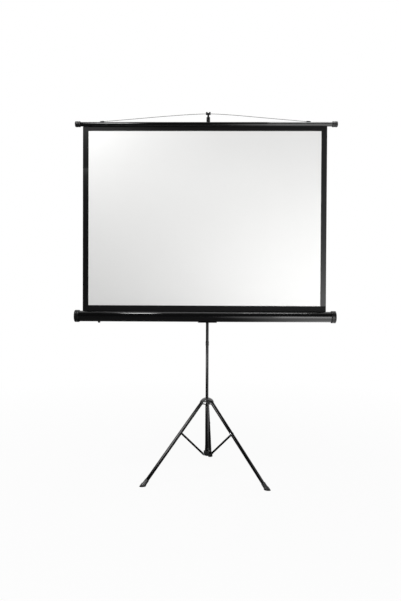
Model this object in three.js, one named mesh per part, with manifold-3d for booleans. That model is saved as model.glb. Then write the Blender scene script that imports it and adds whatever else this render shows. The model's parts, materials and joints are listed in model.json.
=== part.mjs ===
// Portable floor projector screen on a three-legged stand.
// Millimetres, +Z up. The model is drawn round the mast's axis with the floor at Z 0, and -Y is the side
// that the picture is thrown on. At the end the group is moved so that its origin is the point of the
// floor under the middle of the whole object.

import * as THREE from "three";
import { mergeVertices } from "three/addons/utils/BufferGeometryUtils.js";
import Module from "manifold-3d";

const wasm = await Module();
wasm.setup();

// Clearances
const FIT_GAP = 0.3; // between pieces that touch
const SLIDE_GAP = 0.4; // round a tube that slides in another
const CUT_OVERRUN = 2; // how far a cutting body runs past the face that it cuts

// Facets of a full turn
const SMOOTH = 36;
const ROUND = 24;
const SMALL = 12;

// Mast
const MAST_RADIUS = 9.5;
const MAST_WALL = 1.2;
const MAST_BOTTOM_Z = 134;
const MAST_LENGTH = 1200;
const MAST_PLUG_FLANGE = 5;
const MAST_PLUG_SHANK = 22;
const SLEEVE_RADIUS = 10.8;
const STOP_RING_BELOW_CARRIAGE = 125.5; // from the carriage's lower end down to the ring's top
const STOP_RING_HEIGHT = 26;
const STOP_RING_WALL = 1.4;

// Extension tube, its head and the cable hook
const EXTENSION_TOP_Z = 2329;
const EXTENSION_OVERLAP = 120; // length still inside the mast when drawn out
const HEAD_RADIUS = 12;
const HEAD_HEIGHT = 42;
const HEAD_WALL_TOP = 6;
const HEAD_EDGE = 3;
const HOOK_REACH = 72; // from the mast's axis forward to the cable
const HOOK_WIDTH = 30;
const HOOK_NECK_WIDTH = 12;
const HOOK_THICKNESS = 3.5;
const HOOK_THROAT_RADIUS = 3;
const HOOK_LIP_HEIGHT = 9;
const HOOK_HEEL_HEIGHT = 4;
const HOOK_NOTCH_WIDTH = 9;
const HOOK_NOTCH_DEPTH = 5;

// Extension clamp at the top of the mast
const CLAMP_RADIUS = 15;
const CLAMP_HEIGHT = 46;
const CLAMP_LIP = 12; // how far the clamp stands above the mast tube
const CLAMP_EDGE = 2.5;

// Screw knobs
const KNOB_LOBES = 8;
const KNOB_LOBE_STEPS = 4;
const KNOB_LOBE_DEPTH_SHARE = 0.09;
const KNOB_EDGE_SHARE = 0.12;
const SCREW_RADIUS = 3;
const CLAMP_KNOB_RADIUS = 14;
const CLAMP_KNOB_LENGTH = 18;
const CLAMP_KNOB_STANDOFF = 4;
const CARRIAGE_KNOB_RADIUS = 17;
const CARRIAGE_KNOB_LENGTH = 20;
const CARRIAGE_KNOB_STANDOFF = 5;
const HUB_KNOB_RADIUS = 9.5;
const HUB_KNOB_LENGTH = 11;
const HUB_KNOB_STANDOFF = 1.5;
const HUB_KNOB_RISE = 6; // above the leg pivots
const HUB_KNOB_AZIMUTH = 14; // degrees from straight ahead towards the right

// Leg hub
const HUB_Z = 484; // height of the leg pivots
const HUB_PIVOT_RADIUS = 37.7;
const HUB_RIM_RADIUS = 46;
const HUB_RISE = 30; // from the leg pivots up to the top of the bell
const HUB_DROP = 9; // from the leg pivots down to the rim
const HUB_NOSE_RADIUS = 14;
const HUB_SLOT_FLOOR_RADIUS = 24; // inner end of a leg's slot
const HUB_SLOT_ROOF = 13; // from the leg pivots up to the slot's roof
const LEG_SLOT_GAP = 0.7; // beside a leg in its slot
const PIVOT_PIN_RADIUS = 3;
const PIVOT_PIN_HALF_LENGTH = 25;
const PIN_HEAD_RADIUS = 5.5;
const PIN_HEAD_HEIGHT = 2.2;

// Legs
const LEG_RADIUS = 11;
const LEG_WALL = 1.4;
const LEG_HEAD = 4; // from a leg's pivot up to its upper end
const FOOT_CIRCLE = 441; // radius at which the legs' centre lines meet the floor
const STAND_TURN = -3.24; // degrees by which the stand is turned under the screen
const LEG_AZIMUTHS = [
  ["left", -60],
  ["right", 60],
  ["rear", 180],
];
const FOOT_RADIUS = 17;
const FOOT_NECK_RADIUS = 13.4;
const FOOT_LENGTH = 46;
const FOOT_SOLE = 14; // rubber under the end of the leg tube
const FOOT_BAND = 12; // straight part of the foot next to the sole
const FOOT_LIP = 1.6;

// Braces and their collar
const BRACE_ON_LEG = 234; // from a leg's pivot down to its brace rivet
const BRACE_WIDTH = 13;
const BRACE_THICKNESS = 2.5;
const BRACE_SIDE_GAP = 1.2; // between a leg and the brace that lies beside it
const COLLAR_Z = 152.5; // height of the braces' lower pivots
const COLLAR_PIVOT_RADIUS = 32;
const COLLAR_RADIUS = 20;
const COLLAR_HEIGHT = 30;
const COLLAR_EDGE = 4;
const LUG_THICKNESS = 4;
const LUG_RADIUS = 7.5;

// Case that the cloth rolls into
const CASE_BELOW_MAST_TOP = 289.5; // from the mast tube's top down to the case's axis
const SCREEN_FORWARD = 98; // from the mast's axis forward to the cloth
const CASE_PAST_CLOTH_LEFT = 51.5; // from the cloth's left edge to the case's left end
const CASE_PAST_CLOTH_RIGHT = 63.5;
const CASE_RADIUS = 34;
const CASE_WALL = 1.1;
const CASE_SLOT = 10;
const CASE_CAP_RADIUS = 38.5;
const CASE_CAP_LENGTH = 31;
const CASE_CAP_FLOOR = 8;
const CASE_CAP_DOME = 2.4;
const CASE_CAP_EDGE = 3.5;
const CASE_CAP_GROOVE = 1;
const CASE_CAP_GROOVE_WIDTH = 3;
const BUMPER_FROM_END = 156; // from the left end of the case
const BUMPER_RADIUS = 7.5;
const BUMPER_HEIGHT = 8;
const BUMPER_SEAT = 1.5; // how far the bumper's flat seat rises into the curve of the tube

// Saddle and swivel between case and carriage
const SADDLE_WIDTH = 118;
const SADDLE_THICKNESS = 5;
const SADDLE_REAR_ANGLE = 32; // degrees that it climbs behind the case, above level
const SADDLE_FRONT_ANGLE = 112; // degrees below level, past the lowest line of the case
const SADDLE_PAD_WIDTH = 58;
const SADDLE_PAD_HEIGHT = 50;
const SADDLE_PAD_BACK = 52; // from the mast's axis forward to the back of the pad
const BOLT_RADIUS = 5;
const BOLT_HEAD_RADIUS = 9;
const BOLT_HEAD_HEIGHT = 4.5;
const BOLT_POCKET_FLOOR = 5.5; // pad left behind the bolt's head
const BOLT_LENGTH_IN_CARRIAGE = 26;
const WASHER_RADIUS = 20;
const WASHER_THICKNESS = 1.6;

// Carriage on the mast
const CARRIAGE_WIDTH = 44;
const CARRIAGE_DEPTH = 40;
const CARRIAGE_BELOW = 41; // from the swivel down to the carriage's lower end
const CARRIAGE_ABOVE = 50;
const CARRIAGE_EDGE = 4;
const BOSS_RADIUS = 22;
const CARRIAGE_KNOB_RISE = 28; // above the swivel
const HANDLE_WIDTH = 20;
const HANDLE_BAR = 15;
const HANDLE_POST = 9; // the part of the handle that lies on the carriage
const HANDLE_REACH = 58; // from the carriage's back to the handle's back
const HANDLE_HEIGHT = 126;
const HANDLE_EDGE = 3;
const HANDLE_CORNER = 16;

// Cloth and roller
const CLOTH_SIDE = -22; // middle of the cloth from the mast's axis
const VIEW_WIDTH = 1463;
const BORDER_SIDE = 36;
const CLOTH_THICKNESS = 1;
const ROLLER_RADIUS = 16;
const ROLLER_WALL = 1.2;
const ROLLER_OVERHANG = 5; // roller tube past each side of the cloth
const ROLLED_THICKNESS = 4.4; // turns of cloth left on the roller
const ROLLER_BACK = 8; // roller's axis behind the case's axis
const ROLLER_DOWN = 6;
const ROLLER_PLUG_LENGTH = 18;
const JOURNAL_RADIUS = 4;
const JOURNAL_LENGTH = 14;
const BRACKET_THICKNESS = 3;
const BRACKET_FROM_CAP = 12;
const SPRING_LENGTH = 520;
const SPRING_RADIUS = 9;
const SPRING_BORE = 4.6;
const ARBOR_RADIUS = 3.4;

// Top bar
const BAR_Z = 2253;
const BAR_PAST_CLOTH_LEFT = 49.5; // from the cloth's left edge to the bar's left end
const BAR_PAST_CLOTH_RIGHT = 65.5;
const BAR_RADIUS = 13.7;
const BAR_WALL = 1.3;
const BAR_SLOT = 3.4;
const BAR_CAP_RADIUS = 18;
const BAR_CAP_LENGTH = 34;
const BAR_CAP_FLOOR = 10;
const BAR_CAP_EDGE = 4;
const BAR_CAP_GROOVE = 1.2;
const BAR_CAP_GROOVE_WIDTH = 3;
const SPLINE_RADIUS = 2.8;

// Hanging cable, as points on its centre line from the mast's axis, left end first
const CABLE_RADIUS = 1.5;
const CABLE_SIDES = 8;
const CABLE_STEPS = 80;
const CABLE_POINTS = [
  [-655, -98, 2270.4],
  [-598, -95.4, 2275.9],
  [-520, -92, 2283.4],
  [-440, -88.9, 2291.3],
  [-360, -85.7, 2299.2],
  [-280, -82.7, 2306.8],
  [-205, -79.8, 2313.5],
  [-140, -77.2, 2318.8],
  [-85, -74.9, 2322.6],
  [-40, -73, 2325.2],
  [-14, -72.1, 2326],
  [0, -72, 2326],
  [14, -72.1, 2326],
  [44, -73, 2325],
  [92, -75, 2321.9],
  [150, -77.6, 2317.2],
  [215, -80.5, 2311],
  [285, -83.7, 2303.7],
  [360, -87.1, 2295.9],
  [440, -90.7, 2287.7],
  [520, -94.3, 2279.7],
  [570, -96.4, 2274.7],
  [615, -98, 2270.4],
];
const ANCHOR_FROM_LEFT_END = 184; // from the bar's left end to the cable's left end
const ANCHOR_FROM_RIGHT_END = 196;
const ANCHOR_LENGTH = 26;
const ANCHOR_WIDTH = 10;
const ANCHOR_CABLE_SEAT = 0.6; // anchor left above the cable
const ANCHOR_FACE_SHARE = 0.35; // part of the anchor's length that its sloped end takes

// Finishes
const finish = (color, roughness, metalness) =>
  new THREE.MeshStandardMaterial({ color, roughness, metalness });
const GLOSS_BLACK_PAINT = finish(0x0c0c0d, 0.18, 0);
const BLACK_PLASTIC = finish(0x121213, 0.42, 0);
const BLACK_RUBBER = finish(0x171717, 0.75, 0);
const BARE_STEEL = finish(0x8d8f92, 0.38, 1);
const ROLLER_STEEL = finish(0xa6a8aa, 0.45, 1);
const WHITE_CLOTH = finish(0xf2f2ef, 0.85, 0);
const CABLE_COAT = finish(0x55575a, 0.5, 0);
const NYLON = finish(0xd8d6cd, 0.5, 0);

// Shared shape helpers

// A closed geometry as a solid that can be joined and cut.
function solidOf(geometry) {
  const bare = geometry.clone();
  bare.deleteAttribute("normal");
  bare.deleteAttribute("uv");
  const merged = mergeVertices(bare, 1e-4);
  const mesh = new wasm.Mesh({
    numProp: 3,
    vertProperties: merged.attributes.position.array,
    triVerts: new Uint32Array(merged.index.array),
  });
  return new wasm.Manifold(mesh);
}

function geometryOf(solid) {
  const mesh = solid.getMesh();
  const geometry = new THREE.BufferGeometry();
  geometry.setAttribute("position", new THREE.BufferAttribute(mesh.vertProperties, 3));
  geometry.setIndex(new THREE.BufferAttribute(mesh.triVerts, 1));
  return geometry;
}

// The body with the other bodies joined to it.
function joined(body, ...others) {
  return geometryOf(others.reduce((sum, other) => sum.add(solidOf(other)), solidOf(body)));
}

// The body with the other bodies cut out of it.
function cut(body, ...others) {
  return geometryOf(others.reduce((rest, other) => rest.subtract(solidOf(other)), solidOf(body)));
}

// A body turned round the Z axis from a profile of [radius, height] points, listed upwards on the outside.
function turned(profile, facets) {
  const points = profile.map(([radius, height]) => new THREE.Vector2(radius, height));
  return new THREE.LatheGeometry(points, facets).rotateX(Math.PI / 2);
}

// A tube along Z between two heights.
function tube(outer, inner, low, high, facets) {
  return turned([[inner, low], [outer, low], [outer, high], [inner, high], [inner, low]], facets);
}

// A solid rod along Z between two heights.
function rod(radius, low, high, facets) {
  return new THREE.CylinderGeometry(radius, radius, high - low, facets)
    .rotateX(Math.PI / 2)
    .translate(0, 0, (low + high) / 2);
}

// What was drawn along Z laid along X, or along Y.
const alongX = (geometry) => geometry.rotateY(Math.PI / 2);
const alongY = (geometry) => geometry.rotateX(-Math.PI / 2);

// An outline in the YZ plane drawn out along X between two places, with its edges rounded by bevel.
function drawnAlongX(shape, low, high, facets, bevel = 0) {
  const toX = new THREE.Matrix4().makeBasis(
    new THREE.Vector3(0, 1, 0),
    new THREE.Vector3(0, 0, 1),
    new THREE.Vector3(1, 0, 0),
  );
  return new THREE.ExtrudeGeometry(shape, {
    depth: high - low - 2 * bevel,
    bevelEnabled: bevel > 0,
    bevelThickness: bevel,
    bevelSize: bevel,
    bevelSegments: 2,
    curveSegments: facets,
  })
    .applyMatrix4(toX)
    .translate(low + bevel, 0, 0);
}

// An outline in the XZ plane drawn out along Y between two places.
function drawnAlongY(shape, low, high, facets) {
  return new THREE.ExtrudeGeometry(shape, {
    depth: high - low,
    bevelEnabled: false,
    curveSegments: facets,
  })
    .rotateX(Math.PI / 2)
    .translate(0, high, 0);
}

function block(low, high) {
  return new THREE.BoxGeometry(high[0] - low[0], high[1] - low[1], high[2] - low[2]).translate(
    (low[0] + high[0]) / 2,
    (low[1] + high[1]) / 2,
    (low[2] + high[2]) / 2,
  );
}

// A block with its upright edges cut off at 45 degrees.
function chamferedBlock(low, high, edge) {
  const [x0, y0] = low;
  const [x1, y1] = high;
  const outline = new THREE.Shape();
  outline.moveTo(x0 + edge, y0);
  outline.lineTo(x1 - edge, y0);
  outline.lineTo(x1, y0 + edge);
  outline.lineTo(x1, y1 - edge);
  outline.lineTo(x1 - edge, y1);
  outline.lineTo(x0 + edge, y1);
  outline.lineTo(x0, y1 - edge);
  outline.lineTo(x0, y0 + edge);
  outline.closePath();
  return new THREE.ExtrudeGeometry(outline, { depth: high[2] - low[2], bevelEnabled: false })
    .translate(0, 0, low[2]);
}

// The outline of a tube's wall with a slot along it. The slot faces the given angle.
function slottedRing(radius, wall, slot, angle) {
  const outerHalf = Math.asin(slot / 2 / radius);
  const innerHalf = Math.asin(slot / 2 / (radius - wall));
  const outline = new THREE.Shape();
  outline.absarc(0, 0, radius, angle + outerHalf, angle + 2 * Math.PI - outerHalf, false);
  outline.absarc(0, 0, radius - wall, angle + 2 * Math.PI - innerHalf, angle + innerHalf, true);
  outline.closePath();
  return outline;
}

// A straight bar with round ends, from one point to another in its own plane.
function roundEndedBar(from, to, halfWidth) {
  const angle = Math.atan2(to[1] - from[1], to[0] - from[0]);
  const outline = new THREE.Shape();
  outline.absarc(to[0], to[1], halfWidth, angle - Math.PI / 2, angle + Math.PI / 2, false);
  outline.absarc(from[0], from[1], halfWidth, angle + Math.PI / 2, angle + (3 * Math.PI) / 2, false);
  outline.closePath();
  return outline;
}

function hole(x, y, radius) {
  const path = new THREE.Path();
  path.absarc(x, y, radius, 0, 2 * Math.PI, true);
  return path;
}

// A low domed rivet or pin head on the plane at one height, standing up from it.
function pinHead(height) {
  return turned(
    [
      [0, height],
      [PIN_HEAD_RADIUS, height],
      [PIN_HEAD_RADIUS * 0.92, height + PIN_HEAD_HEIGHT * 0.55],
      [PIN_HEAD_RADIUS * 0.6, height + PIN_HEAD_HEIGHT * 0.9],
      [0, height + PIN_HEAD_HEIGHT],
    ],
    SMALL,
  );
}

// A lobed screw knob along Z: its screw from one height up to the head, then the head.
function screwKnob(screwEnd, headStart, radius, length) {
  const lobe = radius * KNOB_LOBE_DEPTH_SHARE;
  const edge = radius * KNOB_EDGE_SHARE;
  const outline = new THREE.Shape();
  const steps = KNOB_LOBES * KNOB_LOBE_STEPS;
  for (let i = 0; i <= steps; i++) {
    const angle = (2 * Math.PI * i) / steps;
    const r = radius - edge - lobe * (0.5 - 0.5 * Math.cos(KNOB_LOBES * angle));
    const x = r * Math.cos(angle);
    const y = r * Math.sin(angle);
    if (i === 0) outline.moveTo(x, y);
    else outline.lineTo(x, y);
  }
  const head = new THREE.ExtrudeGeometry(outline, {
    depth: length - 2 * edge,
    bevelThickness: edge,
    bevelSize: edge,
    bevelSegments: 2,
  }).translate(0, 0, headStart + edge);
  return joined(head, rod(SCREW_RADIUS, screwEnd, headStart + edge, SMALL));
}

const root = new THREE.Group();

function add(parent, name, geometry, material) {
  const mesh = new THREE.Mesh(geometry, material);
  mesh.name = name;
  parent.add(mesh);
  return mesh;
}

function groupAt(x, y, z) {
  const group = new THREE.Group();
  group.position.set(x, y, z);
  root.add(group);
  return group;
}

// Mast: the fixed tube that everything hangs on

const mastTopZ = MAST_BOTTOM_Z + MAST_LENGTH;
const caseZ = mastTopZ - CASE_BELOW_MAST_TOP;
const mastBore = MAST_RADIUS - MAST_WALL;
const collarBottomZ = COLLAR_Z - COLLAR_HEIGHT / 2;
const collarTopZ = COLLAR_Z + COLLAR_HEIGHT / 2;
const hubRimZ = HUB_Z - HUB_DROP;

function buildMast() {
  const mast = groupAt(0, 0, 0);
  const tubeBottom = MAST_BOTTOM_Z + MAST_PLUG_FLANGE;
  const mastTube = tube(MAST_RADIUS, mastBore, tubeBottom + FIT_GAP, mastTopZ, ROUND);
  add(mast, "mast_tube", mastTube, GLOSS_BLACK_PAINT);

  const plug = turned(
    [
      [0, MAST_BOTTOM_Z],
      [MAST_RADIUS - MAST_WALL, MAST_BOTTOM_Z],
      [MAST_RADIUS, MAST_BOTTOM_Z + MAST_WALL],
      [MAST_RADIUS, tubeBottom],
      [mastBore - FIT_GAP, tubeBottom],
      [mastBore - FIT_GAP, tubeBottom + MAST_PLUG_SHANK],
      [0, tubeBottom + MAST_PLUG_SHANK],
    ],
    ROUND,
  );
  add(mast, "mast_end_plug", plug, BLACK_PLASTIC);

  const sleeve = tube(SLEEVE_RADIUS, MAST_RADIUS + FIT_GAP, collarTopZ + FIT_GAP, hubRimZ - FIT_GAP, ROUND);
  add(mast, "mast_sleeve", sleeve, GLOSS_BLACK_PAINT);

  const ringOuter = MAST_RADIUS + STOP_RING_WALL + FIT_GAP;
  const ringTop = caseZ - CARRIAGE_BELOW - STOP_RING_BELOW_CARRIAGE;
  const ring = tube(ringOuter, MAST_RADIUS + FIT_GAP, ringTop - STOP_RING_HEIGHT, ringTop, ROUND);
  add(mast, "carriage_stop_ring", ring, BLACK_PLASTIC);

  const clampTop = mastTopZ + CLAMP_LIP;
  const clampBottom = clampTop - CLAMP_HEIGHT;
  const innerLip = mastBore - FIT_GAP;
  const clampShape = turned(
    [
      [MAST_RADIUS + FIT_GAP, clampBottom],
      [CLAMP_RADIUS - CLAMP_EDGE, clampBottom],
      [CLAMP_RADIUS, clampBottom + CLAMP_EDGE],
      [CLAMP_RADIUS, clampTop - CLAMP_EDGE],
      [CLAMP_RADIUS - CLAMP_EDGE, clampTop],
      [innerLip, clampTop],
      [innerLip, mastTopZ + FIT_GAP],
      [MAST_RADIUS + FIT_GAP, mastTopZ + FIT_GAP],
      [MAST_RADIUS + FIT_GAP, clampBottom],
    ],
    ROUND,
  );
  const screwZ = mastTopZ + CLAMP_LIP / 2;
  const screwHole = alongY(
    rod(SCREW_RADIUS + FIT_GAP, innerLip - CUT_OVERRUN, CLAMP_RADIUS + CUT_OVERRUN, SMALL),
  ).translate(0, 0, screwZ);
  add(mast, "extension_clamp", cut(clampShape, screwHole), BLACK_PLASTIC);

  const knob = alongY(
    screwKnob(
      mastBore + FIT_GAP,
      CLAMP_RADIUS + CLAMP_KNOB_STANDOFF,
      CLAMP_KNOB_RADIUS,
      CLAMP_KNOB_LENGTH,
    ),
  );
  add(groupAt(0, 0, screwZ), "extension_clamp_knob", knob, BLACK_PLASTIC);
}

// Extension: the inner tube that is drawn out of the mast, with the hook that holds the cable

const hookCableZ = CABLE_POINTS[Math.floor(CABLE_POINTS.length / 2)][2];

function buildExtension() {
  const extension = groupAt(0, 0, 0);
  const radius = mastBore - SLIDE_GAP;
  const bottom = mastTopZ - EXTENSION_OVERLAP;
  const tubeTop = EXTENSION_TOP_Z - HEAD_WALL_TOP - FIT_GAP;
  const innerTube = tube(radius, radius - MAST_WALL, bottom, tubeTop, ROUND);
  add(extension, "extension_tube", innerTube, GLOSS_BLACK_PAINT);

  const headBottom = EXTENSION_TOP_Z - HEAD_HEIGHT;
  const bore = radius + FIT_GAP;
  const head = turned(
    [
      [bore, headBottom],
      [HEAD_RADIUS - HEAD_EDGE / 2, headBottom],
      [HEAD_RADIUS, headBottom + HEAD_EDGE / 2],
      [HEAD_RADIUS, EXTENSION_TOP_Z - HEAD_EDGE],
      [HEAD_RADIUS - HEAD_EDGE * 0.3, EXTENSION_TOP_Z - HEAD_EDGE * 0.3],
      [HEAD_RADIUS - HEAD_EDGE, EXTENSION_TOP_Z],
      [0, EXTENSION_TOP_Z],
      [0, EXTENSION_TOP_Z - HEAD_WALL_TOP],
      [bore, EXTENSION_TOP_Z - HEAD_WALL_TOP],
      [bore, headBottom],
    ],
    ROUND,
  );
  add(extension, "extension_head", head, BLACK_PLASTIC);
  add(extension, "cable_hook", hookShape(), BARE_STEEL);
}

// A strip that reaches forward, dips under the cable and turns up in two horns.
function hookShape() {
  const throatZ = hookCableZ - CABLE_RADIUS - FIT_GAP + HOOK_THROAT_RADIUS;
  const outer = HOOK_THROAT_RADIUS + HOOK_THICKNESS;
  const y = -HOOK_REACH;
  const back = -HEAD_RADIUS - FIT_GAP;
  const outline = new THREE.Shape();
  outline.moveTo(back, throatZ - outer);
  outline.lineTo(y, throatZ - outer);
  outline.absarc(y, throatZ, outer, -Math.PI / 2, -Math.PI, true);
  outline.lineTo(y - outer, throatZ + HOOK_LIP_HEIGHT);
  outline.lineTo(y - HOOK_THROAT_RADIUS, throatZ + HOOK_LIP_HEIGHT);
  outline.lineTo(y - HOOK_THROAT_RADIUS, throatZ);
  outline.absarc(y, throatZ, HOOK_THROAT_RADIUS, -Math.PI, 0, false);
  outline.lineTo(y + HOOK_THROAT_RADIUS, throatZ + HOOK_HEEL_HEIGHT);
  outline.lineTo(y + outer, throatZ + HOOK_HEEL_HEIGHT);
  outline.lineTo(y + outer, throatZ - outer + HOOK_THICKNESS);
  outline.lineTo(back, throatZ - outer + HOOK_THICKNESS);
  outline.closePath();
  const strip = drawnAlongX(outline, -HOOK_WIDTH / 2, HOOK_WIDTH / 2, 6);
  const sideLow = HOOK_NECK_WIDTH / 2;
  const sideHigh = HOOK_WIDTH / 2 + CUT_OVERRUN;
  const below = throatZ - outer - CUT_OVERRUN;
  const above = throatZ + HOOK_LIP_HEIGHT + CUT_OVERRUN;
  const sides = [-1, 1].map((side) =>
    block(
      [side > 0 ? sideLow : -sideHigh, y + outer, below],
      [side > 0 ? sideHigh : -sideLow, back + CUT_OVERRUN, above],
    ),
  );
  const notch = block(
    [-HOOK_NOTCH_WIDTH / 2, y - outer - CUT_OVERRUN, throatZ + HOOK_LIP_HEIGHT - HOOK_NOTCH_DEPTH],
    [HOOK_NOTCH_WIDTH / 2, y, above],
  );
  return cut(strip, ...sides, notch);
}

// Stand: collar, hub, legs and braces. Each leg is drawn in a group whose X points outwards.

const azimuthOf = (degrees) => THREE.MathUtils.degToRad(degrees + STAND_TURN - 90);
const legAngle = Math.atan2(FOOT_CIRCLE - HUB_PIVOT_RADIUS, HUB_Z);
const legToFloor = Math.hypot(FOOT_CIRCLE - HUB_PIVOT_RADIUS, HUB_Z);
const braceUpper = [
  HUB_PIVOT_RADIUS + BRACE_ON_LEG * Math.sin(legAngle),
  HUB_Z - BRACE_ON_LEG * Math.cos(legAngle),
];
const braceLower = [COLLAR_PIVOT_RADIUS, COLLAR_Z];
const braceInnerFace = LEG_RADIUS + BRACE_SIDE_GAP;
const braceOuterFace = braceInnerFace + BRACE_THICKNESS;
const lugInnerFace = braceOuterFace + FIT_GAP;
const lugOuterFace = lugInnerFace + LUG_THICKNESS;
const pinHole = PIVOT_PIN_RADIUS + FIT_GAP;

function buildCollar() {
  const ring = turned(
    [
      [MAST_RADIUS + FIT_GAP, collarBottomZ],
      [COLLAR_RADIUS - COLLAR_EDGE, collarBottomZ],
      [COLLAR_RADIUS - COLLAR_EDGE * 0.3, collarBottomZ + COLLAR_EDGE * 0.3],
      [COLLAR_RADIUS, collarBottomZ + COLLAR_EDGE],
      [COLLAR_RADIUS, collarTopZ - COLLAR_EDGE / 2],
      [COLLAR_RADIUS - COLLAR_EDGE / 2, collarTopZ],
      [MAST_RADIUS + FIT_GAP, collarTopZ],
      [MAST_RADIUS + FIT_GAP, collarBottomZ],
    ],
    ROUND,
  );
  const lugs = [];
  const holes = [];
  for (const [, azimuth] of LEG_AZIMUTHS) {
    const turn = azimuthOf(azimuth);
    const lug = roundEndedBar([0, COLLAR_Z], [COLLAR_PIVOT_RADIUS, COLLAR_Z], LUG_RADIUS);
    lugs.push(drawnAlongY(lug, lugInnerFace, lugOuterFace, SMALL / 2).rotateZ(turn));
    const pin = alongY(rod(pinHole, lugInnerFace - CUT_OVERRUN, lugOuterFace + CUT_OVERRUN, SMALL));
    holes.push(pin.translate(COLLAR_PIVOT_RADIUS, 0, COLLAR_Z).rotateZ(turn));
  }
  const bore = rod(MAST_RADIUS + FIT_GAP, collarBottomZ - CUT_OVERRUN, collarTopZ + CUT_OVERRUN, ROUND);
  add(root, "brace_collar", cut(joined(ring, ...lugs), bore, ...holes), BLACK_PLASTIC);
}

function buildHub() {
  const top = HUB_Z + HUB_RISE;
  const bore = MAST_RADIUS + SLIDE_GAP;
  const height = top - hubRimZ;
  const bell = turned(
    [
      [bore, hubRimZ],
      [HUB_RIM_RADIUS - HUB_DROP * 0.15, hubRimZ],
      [HUB_RIM_RADIUS, hubRimZ + HUB_DROP * 0.2],
      [HUB_RIM_RADIUS * 0.985, hubRimZ + height * 0.28],
      [HUB_RIM_RADIUS * 0.93, hubRimZ + height * 0.46],
      [HUB_RIM_RADIUS * 0.83, hubRimZ + height * 0.63],
      [HUB_RIM_RADIUS * 0.67, hubRimZ + height * 0.79],
      [HUB_RIM_RADIUS * 0.48, hubRimZ + height * 0.91],
      [HUB_NOSE_RADIUS, hubRimZ + height * 0.975],
      [HUB_NOSE_RADIUS - HUB_DROP * 0.2, top],
      [bore, top],
      [bore, hubRimZ],
    ],
    SMOOTH,
  );
  const cuts = [];
  const slotHalf = LEG_RADIUS + LEG_SLOT_GAP;
  for (const [, azimuth] of LEG_AZIMUTHS) {
    const turn = azimuthOf(azimuth);
    const slot = block(
      [HUB_SLOT_FLOOR_RADIUS, -slotHalf, hubRimZ - CUT_OVERRUN],
      [HUB_RIM_RADIUS + CUT_OVERRUN, slotHalf, HUB_Z + HUB_SLOT_ROOF],
    );
    const pinWay = alongY(rod(pinHole, -HUB_RIM_RADIUS, HUB_RIM_RADIUS, SMALL));
    cuts.push(slot.rotateZ(turn), pinWay.translate(HUB_PIVOT_RADIUS, 0, HUB_Z).rotateZ(turn));
  }
  const knobTurn = azimuthOf(HUB_KNOB_AZIMUTH);
  const knobZ = HUB_Z + HUB_KNOB_RISE;
  const screwWay = alongX(rod(SCREW_RADIUS + FIT_GAP, 0, HUB_RIM_RADIUS + CUT_OVERRUN, SMALL));
  cuts.push(screwWay.translate(0, 0, knobZ).rotateZ(knobTurn));
  add(root, "leg_hub", cut(bell, ...cuts), GLOSS_BLACK_PAINT);

  const knobGroup = groupAt(0, 0, knobZ);
  knobGroup.rotation.z = knobTurn;
  const knob = screwKnob(
    bore + FIT_GAP,
    HUB_RIM_RADIUS + HUB_KNOB_STANDOFF,
    HUB_KNOB_RADIUS,
    HUB_KNOB_LENGTH,
  );
  add(knobGroup, "hub_knob", alongX(knob), BLACK_PLASTIC);
}

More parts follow.
